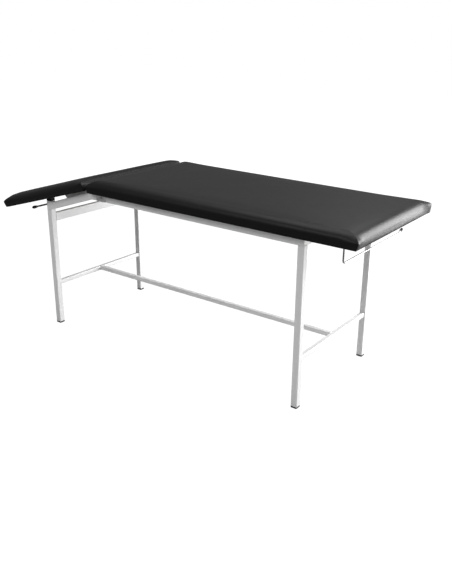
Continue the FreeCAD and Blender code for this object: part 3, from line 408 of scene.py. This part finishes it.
class Workshop:
    """Modelling steps on one piece at a time."""

    @staticmethod
    def clear() -> None:
        """Leave edit mode and select nothing."""
        if bpy.context.object is not None and bpy.context.object.mode != "OBJECT":
            bpy.ops.object.mode_set(mode="OBJECT")
        bpy.ops.object.select_all(action="DESELECT")

    @classmethod
    def activate(cls, piece: bpy.types.Object) -> None:
        """Select one piece and make it active."""
        cls.clear()
        piece.select_set(True)
        bpy.context.view_layer.objects.active = piece

    @classmethod
    def block(cls, name: str, low: Vector, high: Vector) -> bpy.types.Object:
        """Add a block between two corners.

        Args:
            name: the new piece's name.
            low: lowest corner.
            high: highest corner.

        Returns:
            The block, with its place in its mesh.
        """
        cls.clear()
        bpy.ops.mesh.primitive_cube_add(size=1.0, location=(low + high) / 2, scale=high - low)
        piece = bpy.context.object
        piece.name = name
        bpy.ops.object.transform_apply(location=True, rotation=True, scale=True)
        return piece

    @classmethod
    def pick_edges(cls, piece: bpy.types.Object,
                   test: Callable[[bmesh.types.BMEdge], bool]) -> None:
        """Enter edit mode with the edges selected that pass a test."""
        cls.activate(piece)
        bpy.ops.object.mode_set(mode="EDIT")
        bpy.ops.mesh.select_mode(type="EDGE")
        bpy.ops.mesh.select_all(action="DESELECT")
        mesh = bmesh.from_edit_mesh(piece.data)
        for edge in mesh.edges:
            edge.select_set(test(edge))
        bmesh.update_edit_mesh(piece.data)

    @classmethod
    def divide(cls, piece: bpy.types.Object, axis: Axis, spacing: float, shortest: float) -> None:
        """Divide the long edges that run along an axis into even lengths.

        Args:
            piece: the piece.
            axis: the way that the edges run.
            spacing: about how long each part of the longest edge becomes.
            shortest: edges up to this length stay whole.
        """
        direction = axis.value

        def runs_along(edge: bmesh.types.BMEdge) -> bool:
            """Whether an edge is long enough and runs along the axis."""
            way = edge.verts[1].co - edge.verts[0].co
            return way.length > shortest and abs(way.normalized().dot(direction)) > 0.999

        cls.pick_edges(piece, runs_along)
        mesh = bmesh.from_edit_mesh(piece.data)
        longest = max(edge.calc_length() for edge in mesh.edges if edge.select)
        bpy.ops.mesh.subdivide(number_cuts=max(1, round(longest / spacing)))
        bpy.ops.object.mode_set(mode="OBJECT")

    @classmethod
    def bevel(cls, piece: bpy.types.Object, test: Callable[[bmesh.types.BMEdge], bool],
              width: float, segments: int) -> None:
        """Round the edges that pass a test."""
        cls.pick_edges(piece, test)
        bpy.ops.mesh.bevel(offset=width, offset_type="OFFSET", segments=segments, profile=0.5,
                           affect="EDGES", clamp_overlap=False)
        bpy.ops.object.mode_set(mode="OBJECT")

    @classmethod
    def settle(cls, piece: bpy.types.Object, turn: float, pivot: Vector) -> None:
        """Turn a piece about the width axis and move it, then keep that place in its mesh."""
        cls.activate(piece)
        piece.matrix_world = Matrix.Translation(pivot) @ Matrix.Rotation(turn, 4, "Y")
        bpy.ops.object.transform_apply(location=True, rotation=True, scale=True)

    @classmethod
    def recalculate(cls, piece: bpy.types.Object) -> None:
        """Point the faces outwards."""
        cls.activate(piece)
        bpy.ops.object.mode_set(mode="EDIT")
        bpy.ops.mesh.select_all(action="SELECT")
        bpy.ops.mesh.normals_make_consistent(inside=False)
        bpy.ops.object.mode_set(mode="OBJECT")

    @classmethod
    def join(cls, pieces: list[bpy.types.Object], name: str) -> bpy.types.Object:
        """Join pieces into one with a new name."""
        cls.activate(pieces[0])
        for piece in pieces:
            piece.select_set(True)
        if len(pieces) > 1:
            bpy.ops.object.join()
        pieces[0].name = name
        pieces[0].data.name = name
        return pieces[0]

    @classmethod
    def copies(cls, piece: bpy.types.Object, places: list[Matrix], name: str) -> bpy.types.Object:
        """Copy a piece to every place, each copy with its own mesh, and join the copies.

        Args:
            piece: the model, which is used up.
            places: where each copy goes.
            name: the joined piece's name.

        Returns:
            The joined piece.
        """
        made = []
        for place in places:
            mesh = piece.data.copy()
            mesh.transform(place)
            copy = bpy.data.objects.new(name, mesh)
            bpy.context.scene.collection.objects.link(copy)
            made.append(copy)
        bpy.data.objects.remove(piece)
        return cls.join(made, name)

    @classmethod
    def smooth(cls, piece: bpy.types.Object, angle: float) -> None:
        """Shade smooth up to an angle in degrees."""
        cls.activate(piece)
        bpy.ops.object.shade_smooth_by_angle(angle=math.radians(angle))


class Cloth:
    """Short pressure simulation that fills out a cover, with a cap on how far a point moves."""

    pressure = 4.0
    frames = 20
    reach = 1.4 * MM
    quality = 4
    mass = 0.4
    stretch_stiffness = 20.0
    bending_stiffness = 2.0

    def fill(self, piece: bpy.types.Object, held: Callable[[Vector], bool]) -> None:
        """Blow up the cover where it isn't held, and cap how far it moves.

        Args:
            piece: the cover's mesh.
            held: whether a point is fixed to the board.
        """
        Workshop.activate(piece)
        start = [vertex.co.copy() for vertex in piece.data.vertices]
        group = piece.vertex_groups.new(name="held")
        group.add([index for index, co in enumerate(start) if held(co)], 1.0, "REPLACE")
        cloth = piece.modifiers.new("fill", "CLOTH")
        settings = cloth.settings
        settings.vertex_group_mass = "held"
        settings.use_pressure = True
        settings.uniform_pressure_force = self.pressure
        settings.quality = self.quality
        settings.mass = self.mass
        settings.tension_stiffness = self.stretch_stiffness
        settings.compression_stiffness = self.stretch_stiffness
        settings.bending_stiffness = self.bending_stiffness
        settings.effector_weights.gravity = 0.0
        scene = bpy.context.scene
        for step in range(1, self.frames + 1):
            scene.frame_set(step)
        bpy.ops.object.modifier_apply(modifier="fill")
        scene.frame_set(1)
        for vertex, first in zip(piece.data.vertices, start):
            moved = vertex.co - first
            if moved.length > self.reach:
                vertex.co = first + moved.normalized() * self.reach
        piece.vertex_groups.clear()


@dataclass(frozen=True)
class PadCorner:
    """How the cover is folded at a corner.

    The rolls there fall by the drop. The tip stands out by the flare along the table and by the
    spread across it, and the foot of the corner by a share of both.
    """

    drop: float
    flare: float
    spread: float
    foot: float


@dataclass
class PadSizes:
    """Sizes of one padded board in its own level frame, in metres."""

    name: str
    start: float
    end: float
    underside: float
    body: Body
    replaced: str
    clear_lanes: tuple[tuple[float, float], ...]
    corners: dict[tuple[int, int], PadCorner]
    width: float = 656 * MM
    thickness: float = 57 * MM
    end_drop: float = 33 * MM
    side_drop: float = 30 * MM
    end_runs: tuple[float, float] = (30 * MM, 46 * MM)
    side_run: float = 40 * MM
    turn: float = 0.0
    pivot: Vector = field(default_factory=lambda: Vector((0.0, 0.0, 0.0)))


class PadCover:
    """Foam pad under a drawn cover, with rolled edges that meet in mitred corner folds."""

    crown = 2.5 * MM
    inset = 1.2 * MM
    far_fullness = 7 * MM
    mesh_step = 11.0 * MM
    lift = 0.6 * MM
    corner_reach = 75 * MM
    flare_reach = 70 * MM
    ring = 32 * MM
    chamfer = 0.62
    top_reach = 120 * MM
    side_pull = 2.5 * MM
    pull_pitch = 45 * MM
    pull_depth = 0.7 * MM
    pull_height = 16 * MM
    unevenness = 0.5 * MM
    wave_scale = 9.0
    swell_scale = 7.0
    rim_segments = 8
    held_height = 5 * MM
    held_corner = 14 * MM
    fold_crease = 0.75
    rim_crease = 0.5
    fullness = 0.9

    def __init__(self, sizes: PadSizes, finishes: Finishes) -> None:
        """Work out the cover's corners from the pad's sizes."""
        self.sizes = sizes
        self.finishes = finishes
        half = sizes.width / 2 - self.inset
        top = sizes.underside + sizes.thickness - self.crown
        self.low = Vector((sizes.start + self.inset, -half, sizes.underside + self.lift))
        self.high = Vector((sizes.end - self.inset, half + self.far_fullness, top))

    def build(self) -> bpy.types.Object:
        """Model the cover, fill it out and fix it to its body."""
        sizes = self.sizes
        piece = Workshop.block(sizes.name, self.low, self.high)
        top = self.high.z

        def along_top(edge: bmesh.types.BMEdge) -> bool:
            """Whether an edge lies on the top's rim."""
            return all(abs(vertex.co.z - top) < TOUCH for vertex in edge.verts)

        Workshop.bevel(piece, along_top, self.ring, self.rim_segments)
        Workshop.divide(piece, Axis.LENGTH, self.mesh_step, 100 * MM)
        Workshop.divide(piece, Axis.WIDTH, self.mesh_step, 100 * MM)
        Workshop.divide(piece, Axis.HEIGHT, self.mesh_step, 20 * MM)
        self.crease_corners(piece)
        self.draw_over(piece)
        Cloth().fill(piece, self.is_held)
        self.refine(piece)
        Workshop.settle(piece, sizes.turn, sizes.pivot)
        Workshop.smooth(piece, 50.0)
        self.finishes.dress(piece, Slot.COVER)
        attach(piece, sizes.body.value)
        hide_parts(sizes.replaced)
        LOG.info("cover %s: %d faces", piece.name, len(piece.data.polygons))
        return piece

    def margins(self, co: Vector) -> tuple[float, float]:
        """How far a point is from the nearer end and from the nearer side."""
        from_end = min(co.x - self.low.x, self.high.x - co.x)
        from_side = min(co.y - self.low.y, self.high.y - co.y)
        return from_end, from_side

    def ring_at(self, height: float) -> float:
        """How far the block's plain rounded rim lies inside its sides at a height."""
        rise = min(max(height - (self.high.z - self.ring), 0.0), self.ring)
        return self.ring - math.sqrt(self.ring ** 2 - rise ** 2)

    @staticmethod
    def eased(distance: float, reach: float) -> float:
        """Share from 0 at no distance to 1 at the reach, with soft ends."""
        share = min(max(distance / reach, 0.0), 1.0)
        return share * share * (3.0 - 2.0 * share)

    def drawn_in(self, height: float, drop: float, run: float, from_corner: float,
                 corner: PadCorner) -> float:
        """How far the roll draws the cover in at a height.

        Args:
            height: level of the point.
            drop: how far the roll falls along the middle of the edge.
            run: how far the roll reaches inwards at the top.
            from_corner: how far the point is from the corner's fold.
            corner: the corner's fold, towards which the roll turns into a slope.

        Returns:
            The distance from the edge.
        """
        share = self.eased(from_corner, self.corner_reach)
        fall = corner.drop + (drop - corner.drop) * share
        rise = min(max((height - (self.high.z - fall)) / fall, 0.0), 1.0)
        round_share = 1.0 - math.sqrt(1.0 - rise ** 2)
        slope = self.chamfer * (1.0 - share)
        return run * (round_share * (1.0 - slope) + rise * slope)

    def is_held(self, co: Vector) -> bool:
        """Whether a point is fixed to the board or folded at a corner."""
        from_end, from_side = self.margins(co)
        at_corner = max(from_end, from_side) < self.held_corner
        return co.z < self.low.z + self.held_height or at_corner

    def crease_corners(self, piece: bpy.types.Object) -> None:
        """Mark the corner folds and the lower rim so that they stay crisp when refined."""
        mesh = bmesh.new()
        mesh.from_mesh(piece.data)
        crease = mesh.edges.layers.float.new("crease_edge")
        for edge in mesh.edges:
            folded = True
            for vertex in edge.verts:
                from_end, from_side = self.margins(vertex.co)
                on_mitre = abs(from_end - from_side) < TOUCH
                folded = folded and on_mitre and from_end < self.ring * 1.01
            rim = all(vertex.co.z < self.low.z + TOUCH and min(self.margins(vertex.co)) < TOUCH
                      for vertex in edge.verts)
            if folded:
                edge[crease] = self.fold_crease
            elif rim:
                edge[crease] = self.rim_crease
        mesh.to_mesh(piece.data)
        mesh.free()

    def draw_over(self, piece: bpy.types.Object) -> None:
        """Draw the block's rim over the foam: rolls, corner folds, staple pulls and a crown."""
        sizes = self.sizes
        middle = (self.low + self.high) / 2
        half = (self.high - self.low) / 2
        tall = self.high.z - self.low.z
        for vertex in piece.data.vertices:
            co = vertex.co
            height = co.z
            from_end, from_side = self.margins(co)
            ring = self.ring_at(height)
            on_end = abs(from_end - ring) < TOUCH
            on_side = abs(from_side - ring) < TOUCH
            out_x = math.copysign(1.0, co.x - middle.x)
            out_y = math.copysign(1.0, co.y - middle.y)
            corner = sizes.corners[(int(out_x), int(out_y))]
            end_run = sizes.end_runs[0 if out_x < 0 else 1]
            along = min(abs((co.x - middle.x) / half.x), 1.0)
            across = min(abs((co.y - middle.y) / half.y), 1.0)
            near_end = 1.0 - self.eased(from_end, self.flare_reach)
            near_side = 1.0 - self.eased(from_side, self.flare_reach)
            tip = min((height - self.low.z) / (tall - corner.drop), 1.0)
            stand_out = near_end * near_side * (corner.foot + (1.0 - corner.foot) * tip)
            pull_depth = self.pull_depth * max(0.0, 1.0 - (height - self.low.z) / self.pull_height)
            wave = noise.noise(co * self.wave_scale) * self.unevenness
            if height > self.high.z - TOUCH:
                co.x -= out_x * self.top_shift(from_end, end_run)
                co.y -= out_y * self.top_shift(from_side, sizes.side_run)
            if on_end:
                inwards = self.drawn_in(height, sizes.end_drop, end_run, from_side, corner)
                pull = pull_depth * self.pull_at(co.y) + self.side_pull * (1.0 - across ** 4)
                reach = half.x - inwards - pull + wave + stand_out * corner.flare
                co.x = middle.x + out_x * reach
            if on_side:
                inwards = self.drawn_in(height, sizes.side_drop, sizes.side_run, from_end, corner)
                pull = pull_depth * self.pull_at(co.x) + self.side_pull * (1.0 - along ** 4)
                reach = half.y - inwards - pull + wave + stand_out * corner.spread
                co.y = middle.y + out_y * reach
            if height > self.high.z - 10 * TOUCH:
                swell = (1.0 - along ** 4) * (1.0 - across ** 4)
                ripple = noise.noise(co * self.swell_scale) * self.unevenness
                co.z += self.crown * swell + ripple * swell

    def top_shift(self, margin: float, run: float) -> float:
        """How far a point of the top moves inwards to make room for the roll."""
        share = min(max((margin - self.ring) / (self.top_reach - self.ring), 0.0), 1.0)
        return (run - self.ring) * (1.0 - share)

    def pull_at(self, along: float) -> float:
        """Share of a staple's pull at a place along an edge."""
        wander = 2.0 * noise.noise(Vector((along * 3.0, 0.0, 0.0)))
        return 0.5 + 0.5 * math.cos(along / self.pull_pitch * math.tau + wander)

    @staticmethod
    def refine(piece: bpy.types.Object) -> None:
        """Subdivide the finished form once."""
        Workshop.activate(piece)
        finer = piece.modifiers.new("finer", "SUBSURF")
        finer.levels = 1
        finer.render_levels = 1
        bpy.ops.object.modifier_apply(modifier="finer")


class CornerFolds:
    """Folded ends of the cover, laid flat on the pad's end faces at its four corners."""

    width = 17 * MM
    height = 32 * MM
    thickness = 0.8 * MM
    step = 3 * MM
    taper = 0.86
    taper_power = 1.6
    edge_gap = 1.2 * MM
    thinning = 0.35
    sunk = 0.4 * MM

    def __init__(self, cover: PadCover, cloth: bpy.types.Object, finishes: Finishes) -> None:
        """Keep the cover, its finished mesh and the finishes."""
        self.cover = cover
        self.cloth = cloth
        self.finishes = finishes

    def build(self) -> bpy.types.Object:
        """Lay one fold at each corner and join them into one piece."""
        sizes = self.cover.sizes
        folds = []
        for out_x in (-1, 1):
            for out_y in (-1, 1):
                folds.append(self.lay(out_x, out_y))
        piece = Workshop.join(folds, f"{sizes.name}_folds")
        Workshop.smooth(piece, 40.0)
        self.finishes.dress(piece, Slot.COVER)
        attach(piece, sizes.body.value)
        LOG.info("folds %s", piece.name)
        return piece

    def lay(self, out_x: int, out_y: int) -> bpy.types.Object:
        """Lay one fold against the end face beside a corner."""
        cover = self.cover
        low, high = cover.low, cover.high
        corner_y = high.y if out_y > 0 else low.y
        end_x = high.x if out_x > 0 else low.x
        first = Vector((end_x, corner_y - (self.width if out_y > 0 else 0.0), low.z))
        last = Vector((end_x + self.thickness, first.y + self.width, low.z + self.height))
        fold = Workshop.block("fold", first, last)
        Workshop.divide(fold, Axis.WIDTH, self.step, 10 * MM)
        Workshop.divide(fold, Axis.HEIGHT, self.step, 10 * MM)
        place = Matrix.Translation(cover.sizes.pivot) @ Matrix.Rotation(cover.sizes.turn, 4, "Y")
        for vertex in fold.data.vertices:
            co = vertex.co
            outer = abs(co.x - end_x) > self.thickness / 2
            up = (co.z - low.z) / self.height
            inwards = abs(co.y - corner_y) * (1.0 - self.taper * up ** self.taper_power)
            edge_share = min(abs(co.y - corner_y) / self.width, 1.0)
            target = Vector((end_x, corner_y - out_y * (inwards + self.edge_gap), co.z))
            _, found, normal, _ = self.cloth.closest_point_on_mesh(place @ target)
            lift = self.thickness * (1.0 - self.thinning * edge_share) if outer else -self.sunk
            vertex.co = found + normal * lift
        Workshop.recalculate(fold)
        return fold


class Hem:
    """Edge of the cover turned under the board, with the staples that hold it."""

    depth = 25 * MM
    thickness = 1.0 * MM
    step = 9 * MM
    staple_pitch = 45 * MM
    staple_size = (11 * MM, 1.2 * MM, 0.6 * MM)
    seed = 7
    rim = 1.5 * MM
    cut_wave = 2.2 * MM
    cut_scale = 22.0
    ripple = 0.2 * MM
    ripple_scale = 40.0

    def __init__(self, cover: PadCover, finishes: Finishes) -> None:
        """Keep the cover that the hem belongs to and the finishes."""
        self.cover = cover
        self.finishes = finishes

    def strips(self) -> list[tuple[Vector, Vector]]:
        """Lower and upper corners of the hem's strips, clear of the tubes below the board."""
        low, high, rim = self.cover.low, self.cover.high, self.rim
        under = self.cover.sizes.underside
        lower = under - self.thickness
        ends = [(low.x + rim, low.x + rim + self.depth), (high.x - rim - self.depth, high.x - rim)]
        sides = [(low.y + rim, low.y + rim + self.depth), (high.y - rim - self.depth, high.y - rim)]
        whole = ((low.y + rim, high.y - rim),)
        strips = []
        for first, last in sides:
            strips.append((Vector((ends[0][1], first, lower)), Vector((ends[1][0], last, under))))
        for index, (first, last) in enumerate(ends):
            lanes = self.cover.sizes.clear_lanes if index == self.blocked_end() else whole
            for near, far in lanes:
                strips.append((Vector((first, near, lower)), Vector((last, far, under))))
        return strips

    def blocked_end(self) -> int:
        """Which end meets the tubes or arms: 0 for the lower X, 1 for the higher."""
        return 0 if self.cover.sizes.body is Body.FRAME else 1

    def build(self) -> None:
        """Model the hem and its staples and fix both to the pad's body."""
        sizes = self.cover.sizes
        strips = self.strips()
        parts = [self.strip(low, high) for low, high in strips]
        hem = Workshop.join(parts, f"{sizes.name}_hem")
        staples = self.staples(strips)
        for piece, slot in ((hem, Slot.COVER), (staples, Slot.ZINC)):
            Workshop.settle(piece, sizes.turn, sizes.pivot)
            Workshop.smooth(piece, 35.0)
            self.finishes.dress(piece, slot)
            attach(piece, sizes.body.value)
            LOG.info("hem piece %s: %d faces", piece.name, len(piece.data.polygons))

    def strip(self, low: Vector, high: Vector) -> bpy.types.Object:
        """One strip of the hem with a slightly uneven cut edge."""
        piece = Workshop.block("strip", low, high)
        along = Axis.LENGTH if high.x - low.x > high.y - low.y else Axis.WIDTH
        if max(high.x - low.x, high.y - low.y) > 1.5 * self.depth:
            Workshop.divide(piece, along, self.step, 1.2 * self.depth)
        inner_low = abs(low.y) < abs(high.y) if along is Axis.LENGTH else low.x > 0
        for vertex in piece.data.vertices:
            co = vertex.co
            flat = Vector((co.x * self.cut_scale, co.y * self.cut_scale, 0.0))
            wave = noise.noise(flat) * self.cut_wave
            if along is Axis.LENGTH and abs(co.y - (low.y if inner_low else high.y)) < TOUCH:
                co.y += wave
            inner_x = high.x if self.cover.low.x + 100 * MM > co.x else low.x
            if along is Axis.WIDTH and abs(co.x - inner_x) < TOUCH:
                co.x += wave
            if co.z < low.z + TOUCH:
                co.z -= self.ripple * noise.noise(co * self.ripple_scale)
        return piece

    def staples(self, strips: list[tuple[Vector, Vector]]) -> bpy.types.Object:
        """A row of staples along every strip."""
        length, wide, thick = self.staple_size
        random = Random(self.seed)
        parts = []
        for low, high in strips:
            lengthwise = high.x - low.x > high.y - low.y
            run = (high.x - low.x) if lengthwise else (high.y - low.y)
            count = max(1, round(run / self.staple_pitch))
            centre = (low + high) / 2
            for index in range(count):
                offset = (index + 0.5) / count * run - run / 2 + random.uniform(-3, 3) * MM
                aside = random.uniform(-2.5, 2.5) * MM
                shift = Vector((offset, aside, 0)) if lengthwise else Vector((aside, offset, 0))
                angle = random.gauss(0.0, 0.16) + (0.0 if lengthwise else math.pi / 2)
                place = Vector((centre.x, centre.y, low.z - thick * 0.3)) + shift
                parts.append(Matrix.Translation(place) @ Matrix.Rotation(angle, 4, "Z"))
        half = Vector((length, wide, thick)) / 2
        staple = Workshop.block("staple", -half, half)
        Workshop.bevel(staple, lambda edge: True, thick * 0.3, 1)
        return Workshop.copies(staple, parts, f"{self.cover.sizes.name}_staples")


# Frame


@dataclass(frozen=True)
class Bead:
    """A weld bead around the end of a tube: its centre, the tube's direction and its two sides."""

    centre: tuple[float, float, float]
    axis: Axis
    sides: tuple[float, float]


class WeldBeads:
    """Small weld beads where the frame's tubes meet, under the enamel."""

    radius = 1.7 * MM
    tube_corner = 3 * MM
    head_x = -656.5 * MM
    foot_x = 723.5 * MM
    inner_face = 272 * MM
    low_level = 210 * MM
    deep_bar = (-652.5 * MM, 542 * MM)
    inner_bars = (-250 * MM, 235 * MM)
    inner_level = 692 * MM
    stretcher_gap = 10 * MM
    ripple = 0.35 * MM
    ripples = 32
    model_radius = 0.25

    def __init__(self, finishes: Finishes) -> None:
        """Keep the finishes."""
        self.finishes = finishes

    def beads(self) -> list[Bead]:
        """All the beads, worked out from the frame's main places."""
        low, deep, inner = (20 * MM, 20 * MM), (20 * MM, 40 * MM), (20 * MM, 34 * MM)
        bar_x, bar_z = self.deep_bar
        found = []
        for side in (-1, 1):
            face = side * self.inner_face
            for x in (self.head_x, self.foot_x):
                found.append(Bead((x, face, self.low_level), Axis.WIDTH, low))
            found.append(Bead((bar_x, face, bar_z), Axis.WIDTH, deep))
            for x in self.inner_bars:
                found.append(Bead((x, face, self.inner_level), Axis.WIDTH, inner))
        for x in (self.head_x + self.stretcher_gap, self.foot_x - self.stretcher_gap):
            found.append(Bead((x, 0.0, self.low_level), Axis.LENGTH, low))
        return found

    def build(self) -> bpy.types.Object:
        """Model every bead and join them into one piece on the frame."""
        parts = [self.loop(bead) for bead in self.beads()]
        piece = Workshop.join(parts, "weld_beads")
        Workshop.smooth(piece, 60.0)
        self.finishes.dress(piece, Slot.ENAMEL)
        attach(piece, Body.FRAME.value)
        LOG.info("weld beads: %d loops, %d faces", len(parts), len(piece.data.polygons))
        return piece

    def loop(self, bead: Bead) -> bpy.types.Object:
        """Sweep a rippled bead around a rounded rectangle."""
        Workshop.clear()
        bpy.ops.mesh.primitive_torus_add(major_segments=96, minor_segments=8, major_radius=1.0,
                                         minor_radius=self.model_radius)
        piece = bpy.context.object
        wide, tall = (side / 2 for side in bead.sides)
        for vertex in piece.data.vertices:
            flat = Vector((vertex.co.x, vertex.co.y))
            angle = math.atan2(flat.y, flat.x)
            thick = self.radius + self.ripple * math.cos(angle * self.ripples)
            around = (flat.length - 1.0) / self.model_radius * thick
            on_path, outward = self.rounded_rectangle(angle, wide, tall)
            spread = on_path + outward * around
            depth = vertex.co.z / self.model_radius * thick
            vertex.co = self.oriented(bead.axis, spread.x, spread.y, depth)
        Workshop.activate(piece)
        piece.location = bead.centre
        bpy.ops.object.transform_apply(location=True, rotation=True, scale=True)
        Workshop.recalculate(piece)
        return piece

    @staticmethod
    def oriented(axis: Axis, across: float, up: float, along: float) -> Vector:
        """Turn a point of the bead's own plane so that the plane faces an axis."""
        if axis is Axis.WIDTH:
            return Vector((across, along, up))
        return Vector((along, across, up))

    def rounded_rectangle(self, angle: float, wide: float, tall: float) -> tuple[Vector, Vector]:
        """Point on a rounded rectangle in a direction, and the way out from it."""
        way = Vector((math.cos(angle), math.sin(angle)))
        reach = min(wide / max(abs(way.x), TINY), tall / max(abs(way.y), TINY))
        point = way * reach
        inner = Vector((max(-wide + self.tube_corner, min(wide - self.tube_corner, point.x)),
                        max(-tall + self.tube_corner, min(tall - self.tube_corner, point.y))))
        out = point - inner
        out = out.normalized() if out.length > TINY else way
        return inner + out * self.tube_corner, out


# Studio


@dataclass(frozen=True)
class Softbox:
    """One rectangular studio light aimed at a point."""

    name: str
    place: tuple[float, float, float]
    aim: tuple[float, float, float]
    width: float
    height: float
    power: float

    def build(self) -> None:
        """Add the light."""
        data = bpy.data.lights.new(self.name, "AREA")
        data.shape = "RECTANGLE"
        data.size = self.width
        data.size_y = self.height
        data.energy = self.power
        lamp = bpy.data.objects.new(self.name, data)
        lamp.location = self.place
        way = Vector(self.aim) - Vector(self.place)
        lamp.rotation_euler = way.to_track_quat("-Z", "Y").to_euler()
        lamp.visible_camera = False
        bpy.context.scene.collection.objects.link(lamp)


class Studio:
    """Floor, world, lights and the photograph's camera."""

    camera_place = (1.9416, -2.3718, 1.4348)
    camera_turn = (1.21342, -0.02608, 0.59420)
    lens = 42.71
    sensor = 36.0
    shift = (-0.0664, -0.0200)
    softboxes = (
        Softbox("foot_box", (3.2, -0.6, 1.9), (0.6, 0.0, 0.6), 1.6, 2.4, 20.0),
        Softbox("overhead_box", (0.1, 0.5, 3.4), (0.1, 0.0, 0.6), 3.0, 2.0, 55.0),
        Softbox("rim_box", (2.2, 2.45, 1.3), (0.96, 0.0, 0.74), 1.7, 2.4, 180.0),
        Softbox("far_box", (0.16, 2.1, 2.76), (-0.38, 0.0, 0.75), 1.4, 1.0, 14.0),
        Softbox("near_box", (-0.6, -2.9, 3.2), (-0.1, 0.0, 0.5), 2.4, 1.6, 46.0),
    )
    floor_reach = 12.0
    floor_grey = 0.42
    floor_glow = 1.22
    seen_share = 0.8
    world_levels = (0.22, 1.0)
    mirrored_share = 0.12
    white_from = (2.2, 4.5)

    def build(self) -> None:
        """Build the whole studio."""
        self.build_floor()
        self.build_world()
        for softbox in self.softboxes:
            softbox.build()
        self.build_camera()
        bpy.context.scene.view_settings.view_transform = "Standard"

    def build_floor(self) -> None:
        """Pale floor that stays white behind the table and keeps its shadow."""
        Workshop.clear()
        bpy.ops.mesh.primitive_plane_add(size=2 * self.floor_reach, location=(0.0, 0.0, 0.0))
        floor = bpy.context.object
        floor.name = "floor"
        shader = Shader("studio_floor")
        path = shader.node("ShaderNodeLightPath")
        grey = (self.floor_grey, self.floor_grey, self.floor_grey, 1.0)
        matte = shader.node("ShaderNodeBsdfDiffuse", None, {"Color": grey})
        white = shader.node("ShaderNodeEmission", None,
                            {"Color": WHITE, "Strength": self.floor_glow})
        spot = shader.node("ShaderNodeVectorMath", {"operation": "LENGTH"}, {0: shader.place()})
        away = shader.wire(spot, "Value").between(*self.white_from)
        glowing = away * (1.0 - self.seen_share) + self.seen_share
        seen = shader.wire(path, "Is Camera Ray") * glowing
        mix = shader.node("ShaderNodeMixShader")
        shader.feed(mix.inputs[0], seen)
        shader.tree.links.new(matte.outputs[0], mix.inputs[1])
        shader.tree.links.new(white.outputs[0], mix.inputs[2])
        shader.tree.links.new(mix.outputs[0], shader.output.inputs["Surface"])
        floor.data.materials.append(shader.material)

    def build_world(self) -> None:
        """White behind the table, and a plain grey light from all round."""
        world = bpy.data.worlds.new("studio")
        bpy.context.scene.world = world
        world.use_nodes = True
        tree = world.node_tree
        tree.nodes.clear()
        output = tree.nodes.new("ShaderNodeOutputWorld")
        path = tree.nodes.new("ShaderNodeLightPath")
        mix = tree.nodes.new("ShaderNodeMixShader")
        for place, level in enumerate(self.world_levels, 1):
            background = tree.nodes.new("ShaderNodeBackground")
            background.inputs["Color"].default_value = WHITE
            background.inputs["Strength"].default_value = level
            tree.links.new(background.outputs[0], mix.inputs[place])
        shown = tree.nodes.new("ShaderNodeMath")
        shown.operation = "MULTIPLY_ADD"
        shown.inputs[1].default_value = self.mirrored_share
        tree.links.new(path.outputs["Is Glossy Ray"], shown.inputs[0])
        tree.links.new(path.outputs["Is Camera Ray"], shown.inputs[2])
        tree.links.new(shown.outputs[0], mix.inputs[0])
        tree.links.new(mix.outputs[0], output.inputs["Surface"])

    def build_camera(self) -> None:
        """Camera at the photograph's place."""
        data = bpy.data.cameras.new("camera")
        data.lens = self.lens
        data.sensor_width = self.sensor
        data.shift_x, data.shift_y = self.shift
        camera = bpy.data.objects.new("camera", data)
        camera.location = self.camera_place
        camera.rotation_euler = self.camera_turn
        bpy.context.scene.collection.objects.link(camera)
        bpy.context.scene.camera = camera


def pad_corner(drop: float, flare: float, spread: float, foot: float = 0.0) -> PadCorner:
    """Corner of a cover from its drop, flare and spread in millimetres."""
    return PadCorner(drop * MM, flare * MM, spread * MM, foot)


def cross_lanes(*ends: float) -> tuple[tuple[float, float], ...]:
    """Lanes across the table from their ends in millimetres."""
    return tuple((first * MM, last * MM) for first, last in zip(ends[::2], ends[1::2]))


def main_pad() -> PadSizes:
    """Sizes of the long level pad."""
    corners = {(-1, -1): pad_corner(22, 2, 2), (-1, 1): pad_corner(16, 2, 2),
               (1, -1): pad_corner(24, 12, 3, 0.05), (1, 1): pad_corner(15, 7, 13, 0.55)}
    return PadSizes("main_cover", -363 * MM, 959 * MM, 709 * MM, Body.FRAME, "main_cushion",
                    cross_lanes(-325, -302, -270, 270, 302, 325), corners)


def head_pad() -> PadSizes:
    """Sizes of the head section's pad, level, with its turn and its hinge's place."""
    corners = {(-1, -1): pad_corner(24, 7, 3), (-1, 1): pad_corner(20, 4, 3),
               (1, -1): pad_corner(16, 0.5, 1), (1, 1): pad_corner(14, 0.5, 1)}
    return PadSizes("head_cover", -582.5 * MM, 2.5 * MM, 9.27 * MM, Body.HEAD, "head_cushion",
                    cross_lanes(-325, -269, -239, 239, 269, 325), corners,
                    end_runs=(60 * MM, 30 * MM), turn=math.radians(-16.4),
                    pivot=Vector((-383 * MM, 0.0, 705 * MM)))


def main() -> None:
    """Build the table's looks."""
    logging.basicConfig(level=logging.INFO)
    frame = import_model()
    finishes = Finishes()
    finishes.dress_nodes(frame)
    for sizes in (main_pad(), head_pad()):
        cover = PadCover(sizes, finishes)
        cloth = cover.build()
        CornerFolds(cover, cloth, finishes).build()
        Hem(cover, finishes).build()
    WeldBeads(finishes).build()
    Studio().build()


if __name__ == "__main__":
    main()
